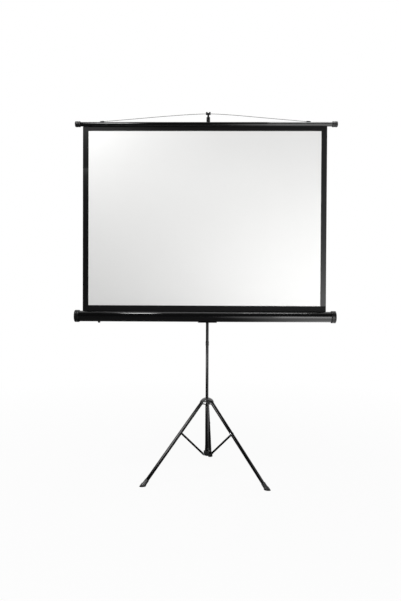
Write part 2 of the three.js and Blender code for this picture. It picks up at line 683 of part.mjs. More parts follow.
function buildLeg(side, azimuth) {
  const sector = groupAt(0, 0, 0);
  sector.rotation.z = azimuthOf(azimuth);

  const pin = alongY(rod(PIVOT_PIN_RADIUS, -PIVOT_PIN_HALF_LENGTH, PIVOT_PIN_HALF_LENGTH, SMALL));
  add(sector, `leg_pin_${side}`, pin.translate(HUB_PIVOT_RADIUS, 0, HUB_Z), BARE_STEEL);

  const leg = new THREE.Group();
  leg.position.set(HUB_PIVOT_RADIUS, 0, HUB_Z);
  leg.rotation.y = -legAngle;
  sector.add(leg);
  const tubeEnd = -legToFloor + FOOT_SOLE;
  const legTube = cut(
    tube(LEG_RADIUS, LEG_RADIUS - LEG_WALL, tubeEnd, LEG_HEAD, ROUND),
    alongY(rod(pinHole, -LEG_RADIUS - CUT_OVERRUN, LEG_RADIUS + CUT_OVERRUN, SMALL)),
    alongY(rod(pinHole, -LEG_RADIUS - CUT_OVERRUN, LEG_RADIUS + CUT_OVERRUN, SMALL)).translate(
      0,
      0,
      -BRACE_ON_LEG,
    ),
  );
  add(leg, `leg_tube_${side}`, legTube, GLOSS_BLACK_PAINT);

  const studEnd = braceInnerFace - FIT_GAP;
  const stud = joined(
    rod(PIVOT_PIN_RADIUS, -studEnd, LEG_RADIUS + FIT_GAP + PIN_HEAD_HEIGHT / 2, SMALL),
    pinHead(LEG_RADIUS + FIT_GAP),
  );
  add(leg, `brace_stud_${side}`, alongY(stud).rotateZ(Math.PI).translate(0, 0, -BRACE_ON_LEG), BARE_STEEL);

  const footTop = -legToFloor + FOOT_LENGTH;
  const footSize = FOOT_RADIUS + FOOT_LENGTH;
  const boot = turned(
    [
      [0, -legToFloor - FOOT_RADIUS],
      [FOOT_RADIUS, -legToFloor - FOOT_RADIUS],
      [FOOT_RADIUS, -legToFloor + FOOT_BAND],
      [FOOT_NECK_RADIUS + FOOT_LIP, -legToFloor + FOOT_BAND + FOOT_LIP * 2],
      [FOOT_NECK_RADIUS, footTop - FOOT_BAND],
      [FOOT_NECK_RADIUS, footTop],
      [LEG_RADIUS + FIT_GAP, footTop],
      [LEG_RADIUS + FIT_GAP, tubeEnd - FIT_GAP],
      [0, tubeEnd - FIT_GAP],
    ],
    ROUND,
  )
    .rotateY(-legAngle)
    .translate(HUB_PIVOT_RADIUS, 0, HUB_Z);
  const underFloor = block(
    [FOOT_CIRCLE - 2 * footSize, -footSize, -2 * footSize],
    [FOOT_CIRCLE + 2 * footSize, footSize, 0],
  );
  add(sector, `foot_${side}`, cut(boot, underFloor), BLACK_RUBBER);

  const outline = roundEndedBar(braceLower, braceUpper, BRACE_WIDTH / 2);
  outline.holes.push(hole(braceLower[0], braceLower[1], pinHole));
  const flat = drawnAlongY(outline, braceInnerFace, braceOuterFace, SMALL / 2);
  const rivet = joined(
    rod(PIVOT_PIN_RADIUS, braceInnerFace, braceOuterFace + PIN_HEAD_HEIGHT / 2, SMALL),
    pinHead(braceOuterFace),
  );
  const brace = joined(flat, alongY(rivet).translate(braceUpper[0], 0, braceUpper[1]));
  add(sector, `brace_${side}`, brace, GLOSS_BLACK_PAINT);

  const lowerPin = joined(
    rod(PIVOT_PIN_RADIUS, braceInnerFace + FIT_GAP, lugOuterFace + FIT_GAP + PIN_HEAD_HEIGHT / 2, SMALL),
    pinHead(lugOuterFace + FIT_GAP),
  );
  add(sector, `brace_pin_${side}`, alongY(lowerPin).translate(braceLower[0], 0, braceLower[1]), BARE_STEEL);
}

// Carriage: slides on the mast and carries the case on a swivel

const carriageFront = -SADDLE_PAD_BACK + WASHER_THICKNESS + 2 * FIT_GAP;

function buildCarriage() {
  const carriage = groupAt(0, 0, caseZ);
  const bodyFront = -CARRIAGE_DEPTH / 2;
  const bodyBack = CARRIAGE_DEPTH / 2;
  const body = chamferedBlock(
    [-CARRIAGE_WIDTH / 2, bodyFront, -CARRIAGE_BELOW],
    [CARRIAGE_WIDTH / 2, bodyBack, CARRIAGE_ABOVE],
    CARRIAGE_EDGE,
  );
  const boss = alongY(rod(BOSS_RADIUS, carriageFront, bodyFront + CUT_OVERRUN, ROUND));
  const bore = rod(
    MAST_RADIUS + SLIDE_GAP,
    -CARRIAGE_BELOW - CUT_OVERRUN,
    CARRIAGE_ABOVE + CUT_OVERRUN,
    ROUND,
  );
  const boltBack = carriageFront + BOLT_LENGTH_IN_CARRIAGE;
  const boltWay = alongY(rod(BOLT_RADIUS + FIT_GAP, carriageFront - CUT_OVERRUN, boltBack + FIT_GAP, ROUND));
  const screwWay = alongX(
    rod(SCREW_RADIUS + FIT_GAP, 0, CARRIAGE_WIDTH / 2 + CUT_OVERRUN, SMALL),
  ).translate(0, 0, CARRIAGE_KNOB_RISE);
  add(carriage, "carriage", cut(joined(body, boss), bore, boltWay, screwWay), BLACK_PLASTIC);

  const headFront = -SADDLE_PAD_BACK - BOLT_POCKET_FLOOR - FIT_GAP - BOLT_HEAD_HEIGHT;
  const bolt = joined(
    rod(BOLT_RADIUS, headFront, boltBack, ROUND),
    rod(BOLT_HEAD_RADIUS, headFront, headFront + BOLT_HEAD_HEIGHT, ROUND),
  );
  add(carriage, "swivel_bolt", alongY(bolt), BARE_STEEL);
  const washer = tube(
    WASHER_RADIUS,
    BOLT_RADIUS + FIT_GAP,
    carriageFront - FIT_GAP - WASHER_THICKNESS,
    carriageFront - FIT_GAP,
    ROUND,
  );
  add(carriage, "swivel_washer", alongY(washer), NYLON);

  const knob = screwKnob(
    MAST_RADIUS + SLIDE_GAP + FIT_GAP,
    CARRIAGE_WIDTH / 2 + CARRIAGE_KNOB_STANDOFF,
    CARRIAGE_KNOB_RADIUS,
    CARRIAGE_KNOB_LENGTH,
  );
  const knobGroup = groupAt(0, 0, caseZ + CARRIAGE_KNOB_RISE);
  add(knobGroup, "carriage_knob", alongX(knob), BLACK_PLASTIC);

  add(carriage, "carry_handle", handleShape(bodyBack + FIT_GAP), BLACK_PLASTIC);
}

// A D-shaped grip behind the carriage, standing up from the carriage's lower end.
function handleShape(front) {
  const back = front + HANDLE_REACH;
  const low = -CARRIAGE_BELOW;
  const high = low + HANDLE_HEIGHT;
  const outline = new THREE.Shape();
  const e = HANDLE_EDGE;
  outline.moveTo(front + e, low + e);
  outline.lineTo(back - HANDLE_CORNER, low + e);
  outline.absarc(back - HANDLE_CORNER, low + HANDLE_CORNER, HANDLE_CORNER - e, -Math.PI / 2, 0, false);
  outline.absarc(back - HANDLE_CORNER, high - HANDLE_CORNER, HANDLE_CORNER - e, 0, Math.PI / 2, false);
  outline.lineTo(front + e, high - e);
  outline.closePath();
  const gap = new THREE.Path();
  const inner = HANDLE_CORNER / 2;
  const gapBack = back - HANDLE_BAR + e;
  const gapFront = front + HANDLE_POST - e;
  const gapLow = low + HANDLE_BAR - e;
  const gapHigh = high - HANDLE_BAR + e;
  gap.moveTo(gapFront, gapLow);
  gap.lineTo(gapFront, gapHigh);
  gap.lineTo(gapBack - inner, gapHigh);
  gap.absarc(gapBack - inner, gapHigh - inner, inner, Math.PI / 2, 0, true);
  gap.absarc(gapBack - inner, gapLow + inner, inner, 0, -Math.PI / 2, true);
  gap.closePath();
  outline.holes.push(gap);
  return drawnAlongX(outline, -HANDLE_WIDTH / 2, HANDLE_WIDTH / 2, SMALL / 2, e);
}

// Case with the spring roller inside, drawn round the case's axis

const clothWidth = VIEW_WIDTH + 2 * BORDER_SIDE;
const clothLeft = CLOTH_SIDE - clothWidth / 2;
const clothRight = CLOTH_SIDE + clothWidth / 2;
const caseLeft = clothLeft - CASE_PAST_CLOTH_LEFT;
const caseRight = clothRight + CASE_PAST_CLOTH_RIGHT;
const rolledRadius = ROLLER_RADIUS + FIT_GAP + ROLLED_THICKNESS;

// An end cap as a cup over a tube's end, drawn with its mouth towards +Z and its outer face at Z 0.
function endCap(radius, length, floor, bore, edge, dome, groove, facets) {
  return turned(
    [
      [0, 0],
      [radius * 0.55, dome * 0.3],
      [radius - edge, dome],
      [radius - edge * 0.3, dome + edge * 0.3],
      [radius, dome + edge],
      [radius, groove.low],
      [radius - groove.depth, groove.low],
      [radius - groove.depth, groove.low + groove.width],
      [radius, groove.low + groove.width],
      [radius, length - edge / 4],
      [radius - edge / 4, length],
      [bore, length],
      [bore, floor],
      [0, floor],
    ],
    facets,
  );
}

function buildCase() {
  const box = groupAt(0, -SCREEN_FORWARD, caseZ);
  const left = caseLeft + CASE_CAP_FLOOR + FIT_GAP;
  const right = caseRight - CASE_CAP_FLOOR - FIT_GAP;
  const wall = slottedRing(CASE_RADIUS, CASE_WALL, CASE_SLOT, Math.PI / 2);
  add(box, "case_tube", drawnAlongX(wall, left, right, SMOOTH), GLOSS_BLACK_PAINT);

  const cap = () =>
    endCap(
      CASE_CAP_RADIUS,
      CASE_CAP_LENGTH,
      CASE_CAP_FLOOR,
      CASE_RADIUS + FIT_GAP,
      CASE_CAP_EDGE,
      CASE_CAP_DOME,
      { depth: CASE_CAP_GROOVE, low: CASE_CAP_LENGTH * 0.7, width: CASE_CAP_GROOVE_WIDTH },
      SMOOTH,
    );
  add(box, "case_cap_left", alongX(cap()).translate(caseLeft, 0, 0), BLACK_PLASTIC);
  add(box, "case_cap_right", alongX(cap()).rotateZ(Math.PI).translate(caseRight, 0, 0), BLACK_PLASTIC);

  const seatDepth = CASE_RADIUS - BUMPER_SEAT;
  const bumper = cut(
    turned(
      [
        [0, -CASE_RADIUS - BUMPER_HEIGHT],
        [BUMPER_RADIUS * 0.75, -CASE_RADIUS - BUMPER_HEIGHT],
        [BUMPER_RADIUS, -CASE_RADIUS - BUMPER_HEIGHT * 0.7],
        [BUMPER_RADIUS, -seatDepth],
        [0, -seatDepth],
      ],
      SMALL,
    ),
    alongX(rod(CASE_RADIUS + FIT_GAP, -BUMPER_RADIUS - CUT_OVERRUN, BUMPER_RADIUS + CUT_OVERRUN, SMOOTH)),
  );
  add(box, "case_bumper", bumper.translate(caseLeft + BUMPER_FROM_END, 0, 0), BLACK_RUBBER);
  add(box, "case_saddle", saddleShape(), BLACK_PLASTIC);
  buildRoller(box, left, right);
}

// A trough under and behind the case, with a pad for the swivel at its back.
function saddleShape() {
  const inner = CASE_RADIUS + FIT_GAP;
  const outer = inner + SADDLE_THICKNESS;
  const rear = THREE.MathUtils.degToRad(SADDLE_REAR_ANGLE);
  const front = THREE.MathUtils.degToRad(-SADDLE_FRONT_ANGLE);
  const trough = new THREE.Shape();
  trough.absarc(0, 0, outer, front, rear, false);
  trough.absarc(0, 0, inner, rear, front, true);
  trough.closePath();
  const padBack = SCREEN_FORWARD - SADDLE_PAD_BACK;
  const pad = cut(
    block(
      [-SADDLE_PAD_WIDTH / 2, inner - SADDLE_THICKNESS, -SADDLE_PAD_HEIGHT / 2],
      [SADDLE_PAD_WIDTH / 2, padBack, SADDLE_PAD_HEIGHT / 2],
    ),
    alongX(rod(inner, -SADDLE_WIDTH, SADDLE_WIDTH, SMOOTH)),
  );
  const boltWay = alongY(rod(BOLT_RADIUS + FIT_GAP, inner - SADDLE_THICKNESS, padBack + CUT_OVERRUN, ROUND));
  const pocket = alongY(
    rod(BOLT_HEAD_RADIUS + 2 * FIT_GAP, inner - SADDLE_THICKNESS, padBack - BOLT_POCKET_FLOOR, ROUND),
  );
  return cut(
    joined(drawnAlongX(trough, -SADDLE_WIDTH / 2, SADDLE_WIDTH / 2, ROUND / 2), pad),
    boltWay,
    pocket,
  );
}

function buildRoller(box, left, right) {
  const bracketLeft = left + BRACKET_FROM_CAP;
  const bracketRight = right - BRACKET_FROM_CAP - BRACKET_THICKNESS;
  const disc = (x) => {
    const plate = alongX(
      rod(CASE_RADIUS - CASE_WALL - FIT_GAP, x, x + BRACKET_THICKNESS, ROUND),
    );
    const way = alongX(
      rod(JOURNAL_RADIUS + FIT_GAP, x - CUT_OVERRUN, x + BRACKET_THICKNESS + CUT_OVERRUN, SMALL),
    ).translate(0, ROLLER_BACK, -ROLLER_DOWN);
    return cut(plate, way);
  };
  add(box, "roller_bracket_left", disc(bracketLeft), ROLLER_STEEL);
  add(box, "roller_bracket_right", disc(bracketRight), ROLLER_STEEL);

  const roller = groupAt(0, ROLLER_BACK - SCREEN_FORWARD, caseZ - ROLLER_DOWN);
  const tubeLeft = clothLeft - ROLLER_OVERHANG;
  const tubeRight = clothRight + ROLLER_OVERHANG;
  const bore = ROLLER_RADIUS - ROLLER_WALL;
  add(roller, "roller_tube", alongX(tube(ROLLER_RADIUS, bore, tubeLeft, tubeRight, ROUND)), ROLLER_STEEL);
  const rolled = tube(rolledRadius, ROLLER_RADIUS + FIT_GAP, clothLeft, clothRight, SMOOTH);
  add(roller, "rolled_cloth", alongX(rolled), WHITE_CLOTH);

  const plugRadius = bore - FIT_GAP;
  const leftPlug = joined(
    rod(plugRadius, tubeLeft, tubeLeft + ROLLER_PLUG_LENGTH, ROUND),
    rod(JOURNAL_RADIUS, bracketLeft - BRACKET_THICKNESS, tubeLeft + CUT_OVERRUN, SMALL),
  );
  add(roller, "roller_plug_left", alongX(leftPlug), BLACK_PLASTIC);
  const plugBore = ARBOR_RADIUS + SLIDE_GAP;
  const rightPlug = tube(plugRadius, plugBore, tubeRight - ROLLER_PLUG_LENGTH, tubeRight, ROUND);
  add(roller, "roller_plug_right", alongX(rightPlug), BLACK_PLASTIC);

  const springRight = tubeRight - ROLLER_PLUG_LENGTH - FIT_GAP;
  const springLeft = springRight - SPRING_LENGTH;
  const spring = tube(SPRING_RADIUS, SPRING_BORE, springLeft, springRight, ROUND);
  add(roller, "roller_spring", alongX(spring), BARE_STEEL);
  const arbor = joined(
    rod(ARBOR_RADIUS, springLeft - JOURNAL_LENGTH, bracketRight + BRACKET_THICKNESS + FIT_GAP, SMALL),
    rod(
      JOURNAL_RADIUS + CUT_OVERRUN,
      bracketRight + BRACKET_THICKNESS + FIT_GAP,
      bracketRight + 2 * BRACKET_THICKNESS,
      SMALL,
    ),
  );
  add(roller, "spring_arbor", alongX(arbor), BARE_STEEL);
}

// Screen cloth: one sheet from the roller, out of the case's slot and up into the top bar

function buildCloth() {
  const slotTop = CASE_RADIUS;
  const centre = new THREE.Vector2(ROLLER_BACK, -ROLLER_DOWN);
  const radius = rolledRadius + FIT_GAP + CLOTH_THICKNESS / 2;
  const fromSlot = centre.clone().sub(new THREE.Vector2(0, slotTop));
  const distance = fromSlot.length();
  const spread = Math.asin(radius / distance);
  const direction = fromSlot.clone().normalize().rotateAround(new THREE.Vector2(), -spread);
  const reach = Math.sqrt(distance * distance - radius * radius);
  const end = direction.clone().multiplyScalar(reach).add(new THREE.Vector2(0, slotTop));
  const side = new THREE.Vector2(-direction.y, direction.x).multiplyScalar(CLOTH_THICKNESS / 2);
  const half = CLOTH_THICKNESS / 2;
  const top = BAR_Z - caseZ - BAR_RADIUS + BAR_WALL + SPLINE_RADIUS / 2;
  const outline = new THREE.Shape();
  outline.moveTo(end.x - side.x, end.y - side.y);
  outline.lineTo(end.x + side.x, end.y + side.y);
  outline.lineTo(half, slotTop);
  outline.lineTo(half, top);
  outline.lineTo(-half, top);
  outline.lineTo(-half, slotTop);
  outline.closePath();
  const cloth = drawnAlongX(outline, clothLeft, clothRight, 1);
  add(groupAt(0, -SCREEN_FORWARD, caseZ), "screen_cloth", cloth, WHITE_CLOTH);
  return top;
}

// Top bar with its caps, the rod that holds the cloth, the cable anchors and the cable

function buildBar(clothTop) {
  const bar = groupAt(0, -SCREEN_FORWARD, BAR_Z);
  const barLeft = clothLeft - BAR_PAST_CLOTH_LEFT;
  const barRight = clothRight + BAR_PAST_CLOTH_RIGHT;
  const left = barLeft + BAR_CAP_FLOOR + FIT_GAP;
  const right = barRight - BAR_CAP_FLOOR - FIT_GAP;
  const wall = slottedRing(BAR_RADIUS, BAR_WALL, BAR_SLOT, -Math.PI / 2);
  add(bar, "bar_tube", drawnAlongX(wall, left, right, ROUND), GLOSS_BLACK_PAINT);

  const cap = () =>
    endCap(
      BAR_CAP_RADIUS,
      BAR_CAP_LENGTH,
      BAR_CAP_FLOOR,
      BAR_RADIUS + FIT_GAP,
      BAR_CAP_EDGE,
      BAR_CAP_EDGE / 4,
      { depth: BAR_CAP_GROOVE, low: BAR_CAP_LENGTH * 0.6, width: BAR_CAP_GROOVE_WIDTH },
      ROUND,
    );
  add(bar, "bar_cap_left", alongX(cap()).translate(barLeft, 0, 0), BLACK_PLASTIC);
  add(bar, "bar_cap_right", alongX(cap()).rotateZ(Math.PI).translate(barRight, 0, 0), BLACK_PLASTIC);

  const splineZ = caseZ + clothTop + FIT_GAP + SPLINE_RADIUS - BAR_Z;
  const spline = alongX(rod(SPLINE_RADIUS, clothLeft, clothRight, SMALL));
  add(bar, "cloth_spline", spline.translate(0, 0, splineZ), BARE_STEEL);

  const route = cableRoute(barLeft + ANCHOR_FROM_LEFT_END, barRight - ANCHOR_FROM_RIGHT_END);
  add(bar, "cable_anchor_left", anchorShape(route[0], -1), BLACK_PLASTIC);
  add(bar, "cable_anchor_right", anchorShape(route[route.length - 1], 1), BLACK_PLASTIC);
  add(root, "hanging_cable", cableShape(route), CABLE_COAT);
}

// The cable's points, drawn out to each side so that its ends stay at the two anchors.
function cableRoute(leftEnd, rightEnd) {
  const leftReach = leftEnd / CABLE_POINTS[0][0];
  const rightReach = rightEnd / CABLE_POINTS[CABLE_POINTS.length - 1][0];
  return CABLE_POINTS.map(([x, y, z]) => [x * (x < 0 ? leftReach : rightReach), y, z]);
}

// A small wedge on top of the bar whose inner face the cable runs out of. Side is -1 on the left.
function anchorShape(end, side) {
  const seat = BAR_RADIUS + FIT_GAP;
  const cableHeight = end[2] - BAR_Z;
  const top = cableHeight + CABLE_RADIUS + ANCHOR_CABLE_SEAT;
  const inner = end[0] + side * FIT_GAP;
  const outline = new THREE.Shape();
  outline.moveTo(0, 0);
  outline.lineTo(ANCHOR_LENGTH, 0);
  outline.lineTo(ANCHOR_LENGTH, (seat + top) / 2);
  outline.lineTo(ANCHOR_LENGTH * (1 - ANCHOR_FACE_SHARE), top);
  outline.lineTo(0, top);
  outline.closePath();
  const wedge = drawnAlongY(outline, -ANCHOR_WIDTH / 2, ANCHOR_WIDTH / 2, 1);
  if (side < 0) wedge.rotateZ(Math.PI);
  const bar = alongX(rod(seat, -ANCHOR_LENGTH - CUT_OVERRUN, ANCHOR_LENGTH + CUT_OVERRUN, ROUND));
  return cut(wedge, bar).translate(inner, 0, 0);
}

function cableShape(points) {
  const route = new THREE.CatmullRomCurve3(
    points.map((point) => new THREE.Vector3(...point)),
    false,
    "centripetal",
  );
  const section = new THREE.Shape();
  for (let i = 0; i < CABLE_SIDES; i++) {
    const angle = (2 * Math.PI * i) / CABLE_SIDES;
    const x = CABLE_RADIUS * Math.cos(angle);
    const y = CABLE_RADIUS * Math.sin(angle);
    if (i === 0) section.moveTo(x, y);
    else section.lineTo(x, y);
  }
  section.closePath();
  return new THREE.ExtrudeGeometry(section, { steps: CABLE_STEPS, extrudePath: route });
}

buildMast();
buildExtension();
buildCollar();
buildHub();
for (const [side, azimuth] of LEG_AZIMUTHS) buildLeg(side, azimuth);
buildCarriage();
buildCase();
buildBar(buildCloth());

// The origin goes to the floor under the middle of everything but the cable.
root.updateMatrixWorld(true);
const extent = new THREE.Box3();
root.traverse((piece) => {
  if (piece.isMesh && piece.name !== "hanging_cable") extent.expandByObject(piece, true);
});
const middle = extent.getCenter(new THREE.Vector3());
root.position.set(-middle.x, -middle.y, 0);

export default root;
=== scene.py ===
import json
from math import atan2, cos, hypot, pi, radians, sin

import bpy
from mathutils import Matrix, Vector

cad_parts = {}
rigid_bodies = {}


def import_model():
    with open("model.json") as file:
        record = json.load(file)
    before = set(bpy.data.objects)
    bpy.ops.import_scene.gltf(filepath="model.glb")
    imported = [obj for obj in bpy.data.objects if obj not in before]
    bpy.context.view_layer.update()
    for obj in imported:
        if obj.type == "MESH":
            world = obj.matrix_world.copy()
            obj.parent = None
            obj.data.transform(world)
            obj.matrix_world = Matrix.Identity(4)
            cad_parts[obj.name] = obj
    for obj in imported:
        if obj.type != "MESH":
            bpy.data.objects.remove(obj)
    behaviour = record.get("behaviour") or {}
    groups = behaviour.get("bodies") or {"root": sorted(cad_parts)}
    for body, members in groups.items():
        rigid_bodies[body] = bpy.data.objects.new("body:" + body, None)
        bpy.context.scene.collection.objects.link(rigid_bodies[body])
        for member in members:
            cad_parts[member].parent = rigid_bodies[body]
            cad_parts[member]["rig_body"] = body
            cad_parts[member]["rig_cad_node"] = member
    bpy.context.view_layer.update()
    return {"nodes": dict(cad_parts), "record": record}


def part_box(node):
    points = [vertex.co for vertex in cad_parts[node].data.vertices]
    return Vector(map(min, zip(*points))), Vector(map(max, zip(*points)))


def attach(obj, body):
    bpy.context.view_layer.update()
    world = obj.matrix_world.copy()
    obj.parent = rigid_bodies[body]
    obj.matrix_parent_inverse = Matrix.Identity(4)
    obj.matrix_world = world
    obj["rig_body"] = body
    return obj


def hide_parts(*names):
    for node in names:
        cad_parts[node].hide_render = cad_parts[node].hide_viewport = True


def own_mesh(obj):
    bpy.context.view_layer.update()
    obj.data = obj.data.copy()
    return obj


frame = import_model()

MM = 0.001
X, Z = 0, 2  # as places in a point
bpy.ops.object.select_all(action="DESELECT")


# Places and sizes of the CAD pieces

def middle(node):
    """The middle of a CAD piece's box, in metres."""
    low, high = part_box(node)
    return (low + high) / 2


def ends(node, axis):
    """Where a CAD piece starts and ends along an axis, in millimetres."""
    low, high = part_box(node)
    return low[axis] / MM, high[axis] / MM


def slotted_middle(tube, cap):
    """The middle of a tube whose slot puts its box off its axis: the axis is that of its cap."""
    return Vector((middle(tube).x, middle(cap).y, middle(cap).z))


mast = middle("mast_tube")
case = slotted_middle("case_tube", "case_cap_left")
bar = slotted_middle("bar_tube", "bar_cap_left")

# Cloth, in metres
cloth_low, cloth_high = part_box("screen_cloth")
CLOTH_WIDTH = cloth_high.x - cloth_low.x
SLOT_TOP = 1.0785  # where the cloth comes out of the case
CLOTH_RISE = cloth_high.z - SLOT_TOP
CLOTH_THICKNESS = 0.45 * MM
BORDER_SIDE = 36 * MM
VIEW_LOW = 1.1133  # lower edge of the white viewing area
VIEW_HIGH = 2.2103  # upper edge of it


# Camera, as for the photograph: a little above the middle, almost square to the screen

CAMERA_PLACE = Vector((0.0211, -3.6795, 1.1940))
CAMERA_YAW = -0.0143  # in radians, as are the next two
CAMERA_PITCH = -0.0139
CAMERA_ROLL = 0.0045
LENS_MM = 33.04
SENSOR_MM = 36

forward = Vector((
    sin(CAMERA_YAW) * cos(CAMERA_PITCH),
    cos(CAMERA_YAW) * cos(CAMERA_PITCH),
    sin(CAMERA_PITCH),
))
level = forward.cross(Vector((0, 0, 1))).normalized()
upright = level.cross(forward)
across = level * cos(CAMERA_ROLL) + upright * sin(CAMERA_ROLL)
above = upright * cos(CAMERA_ROLL) - level * sin(CAMERA_ROLL)
facing = Matrix((across, above, -forward)).transposed().to_4x4()
lens = bpy.data.cameras.new("camera")
lens.lens = LENS_MM
lens.sensor_width = SENSOR_MM
camera = bpy.data.objects.new("camera", lens)
bpy.context.scene.collection.objects.link(camera)
camera.matrix_world = Matrix.Translation(CAMERA_PLACE) @ facing
bpy.context.scene.camera = camera


# Hanging cable, as points on its centre line from the mast's axis, in metres, left end first

CABLE_POINTS = [
    (-0.655, -0.098, 2.2704), (-0.598, -0.0954, 2.2759), (-0.52, -0.092, 2.2834),
    (-0.44, -0.0889, 2.2913), (-0.36, -0.0857, 2.2992), (-0.28, -0.0827, 2.3068),
    (-0.205, -0.0798, 2.3135), (-0.14, -0.0772, 2.3188), (-0.085, -0.0749, 2.3226),
    (-0.04, -0.073, 2.3252), (-0.014, -0.0721, 2.326), (0, -0.072, 2.326),
    (0.014, -0.0721, 2.326), (0.044, -0.073, 2.325), (0.092, -0.075, 2.3219),
    (0.15, -0.0776, 2.3172), (0.215, -0.0805, 2.311), (0.285, -0.0837, 2.3037),
    (0.36, -0.0871, 2.2959), (0.44, -0.0907, 2.2877), (0.52, -0.0943, 2.2797),
    (0.57, -0.0964, 2.2747), (0.615, -0.098, 2.2704),
]
CABLE_DIAMETER = 3 * MM
CABLE_STEPS = 6  # from one of these points to the next


def eased(points, steps):
    """The points of a smooth line through the given ones."""
    knots = [points[0] * 2 - points[1], *points, points[-1] * 2 - points[-2]]
    line = []
    for i in range(1, len(points)):
        a, b, c, d = knots[i - 1 : i + 3]
        slope = c - a
        bend = a * 2 - b * 5 + c * 4 - d
        twist = b * 3 - a - c * 3 + d
        for step in range(steps):
            t = step / steps
            line.append((b * 2 + slope * t + bend * t**2 + twist * t**3) / 2)
    return [*line, points[-1]]


cable_line = eased([Vector(p) + Vector((mast.x, mast.y, 0)) for p in CABLE_POINTS], CABLE_STEPS)
cable_curve = bpy.data.curves.new("cable", "CURVE")
cable_curve.dimensions = "3D"
cable_curve.bevel_depth = CABLE_DIAMETER / 2
cable_curve.bevel_resolution = 2
cable_curve.use_fill_caps = True
spline = cable_curve.splines.new("POLY")
spline.points.add(len(cable_line) - 1)
for point, place in zip(spline.points, cable_line):
    point.co = (*place, 1)
cable = bpy.data.objects.new("carrying_cable", cable_curve)
bpy.context.scene.collection.objects.link(cable)
cable.select_set(True)
bpy.context.view_layer.objects.active = cable
bpy.ops.object.convert(target="MESH")
cable = bpy.context.active_object
bpy.ops.object.shade_smooth()
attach(cable, "top_bar")
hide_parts("hanging_cable")
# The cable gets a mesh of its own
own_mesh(cable)


# Finishes

NOISE_RANGE = {"From Min": 0.3, "From Max": 0.7}  # noise stays mostly between these
WAVE_REPEAT = 0.314  # the spacing of the waves of a Wave Texture whose scale is 1


def linear(code):
    """An sRGB colour such as #1a1a1c, as the shader takes it."""
    parts = [int(code[i : i + 2], 16) / 255 for i in (1, 3, 5)]
    return (*[p / 12.92 if p <= 0.04045 else ((p + 0.055) / 1.055) ** 2.4 for p in parts], 1)


def wire(tree, node, inputs):
    """A node's inputs, each set to its value or linked to another node's output."""
    for socket, value in inputs.items():
        if isinstance(value, bpy.types.NodeSocket):
            tree.links.new(value, node.inputs[socket])
        else:
            node.inputs[socket].default_value = value


def put(tree, kind, inputs, **settings):
    """One node with its settings, its values and its links."""
    node = tree.nodes.new(kind)
    for name, value in settings.items():
        setattr(node, name, value)
    wire(tree, node, inputs)
    return node


def new_finish(name):
    """A new material, with its nodes and its shader."""
    finish = bpy.data.materials.new(name)
    finish.use_nodes = True
    return finish, finish.node_tree, finish.node_tree.nodes["Principled BSDF"]


def black_enamel(name, low, high, shine):
    """Black stoving enamel on steel tube: a smooth wet coat with a slight orange peel, in waves
    of a few millimetres."""
    finish, tree, shader = new_finish(name)
    place = put(tree, "ShaderNodeTexCoord", {}).outputs["Object"]
    peel = put(
        tree, "ShaderNodeTexNoise", {"Vector": place, "Scale": 1 / (4 * MM), "Detail": 2.0},
    ).outputs["Fac"]
    haze = put(
        tree, "ShaderNodeTexNoise", {"Vector": place, "Scale": 1 / (90 * MM), "Detail": 4.0},
    ).outputs["Fac"]
    spread = put(
        tree, "ShaderNodeMapRange", {"Value": haze, **NOISE_RANGE, "To Min": low, "To Max": high},
    )
    tint = put(
        tree, "ShaderNodeMix",
        {"Factor": haze, "A": linear("#070708"), "B": linear("#0b0b0c")}, data_type="RGBA",
    )
    bump = put(
        tree, "ShaderNodeBump", {"Strength": 0.05, "Distance": 0.05 * MM, "Height": peel},
    )
    wire(tree, shader, {
        "Base Color": tint.outputs[2], "Roughness": spread.outputs["Result"],
        "Normal": bump.outputs["Normal"], "IOR": 1.5, "Specular IOR Level": shine,
    })
    return finish


def polished_black_plastic():
    """Black plastic from a polished mould: like glass, with a sink mark here and there."""
    finish, tree, shader = new_finish("polished_black_plastic")
    place = put(tree, "ShaderNodeTexCoord", {}).outputs["Object"]
    sink = put(
        tree, "ShaderNodeTexNoise", {"Vector": place, "Scale": 1 / (14 * MM), "Detail": 1.0},
    ).outputs["Fac"]
    spread = put(
        tree, "ShaderNodeMapRange", {"Value": sink, **NOISE_RANGE, "To Min": 0.1, "To Max": 0.16},
    )
    bump = put(tree, "ShaderNodeBump", {"Strength": 0.1, "Distance": 0.1 * MM, "Height": sink})
    wire(tree, shader, {
        "Base Color": linear("#0a0a0b"), "Roughness": spread.outputs["Result"],
        "Normal": bump.outputs["Normal"], "IOR": 1.53, "Specular IOR Level": 0.9,
    })
    return finish


def moulded_black_plastic():
    """Injection-moulded black nylon: satin, with the fine spark grain of its mould."""
    finish, tree, shader = new_finish("moulded_black_plastic")
    place = put(tree, "ShaderNodeTexCoord", {}).outputs["Object"]
    grain = put(
        tree, "ShaderNodeTexNoise", {"Vector": place, "Scale": 1 / (1.1 * MM), "Detail": 3.0},
    ).outputs["Fac"]
    flow = put(
        tree, "ShaderNodeTexNoise", {"Vector": place, "Scale": 1 / (30 * MM), "Detail": 3.0},
    ).outputs["Fac"]
    tint = put(
        tree, "ShaderNodeMix",
        {"Factor": flow, "A": linear("#0b0b0c"), "B": linear("#131314")}, data_type="RGBA",
    )
    spread = put(
        tree, "ShaderNodeMapRange", {"Value": grain, **NOISE_RANGE, "To Min": 0.3, "To Max": 0.42},
    )
    bump = put(tree, "ShaderNodeBump", {"Strength": 0.25, "Distance": 0.1 * MM, "Height": grain})
    wire(tree, shader, {
        "Base Color": tint.outputs[2], "Roughness": spread.outputs["Result"],
        "Normal": bump.outputs["Normal"], "IOR": 1.53, "Specular IOR Level": 0.3,
    })
    return finish


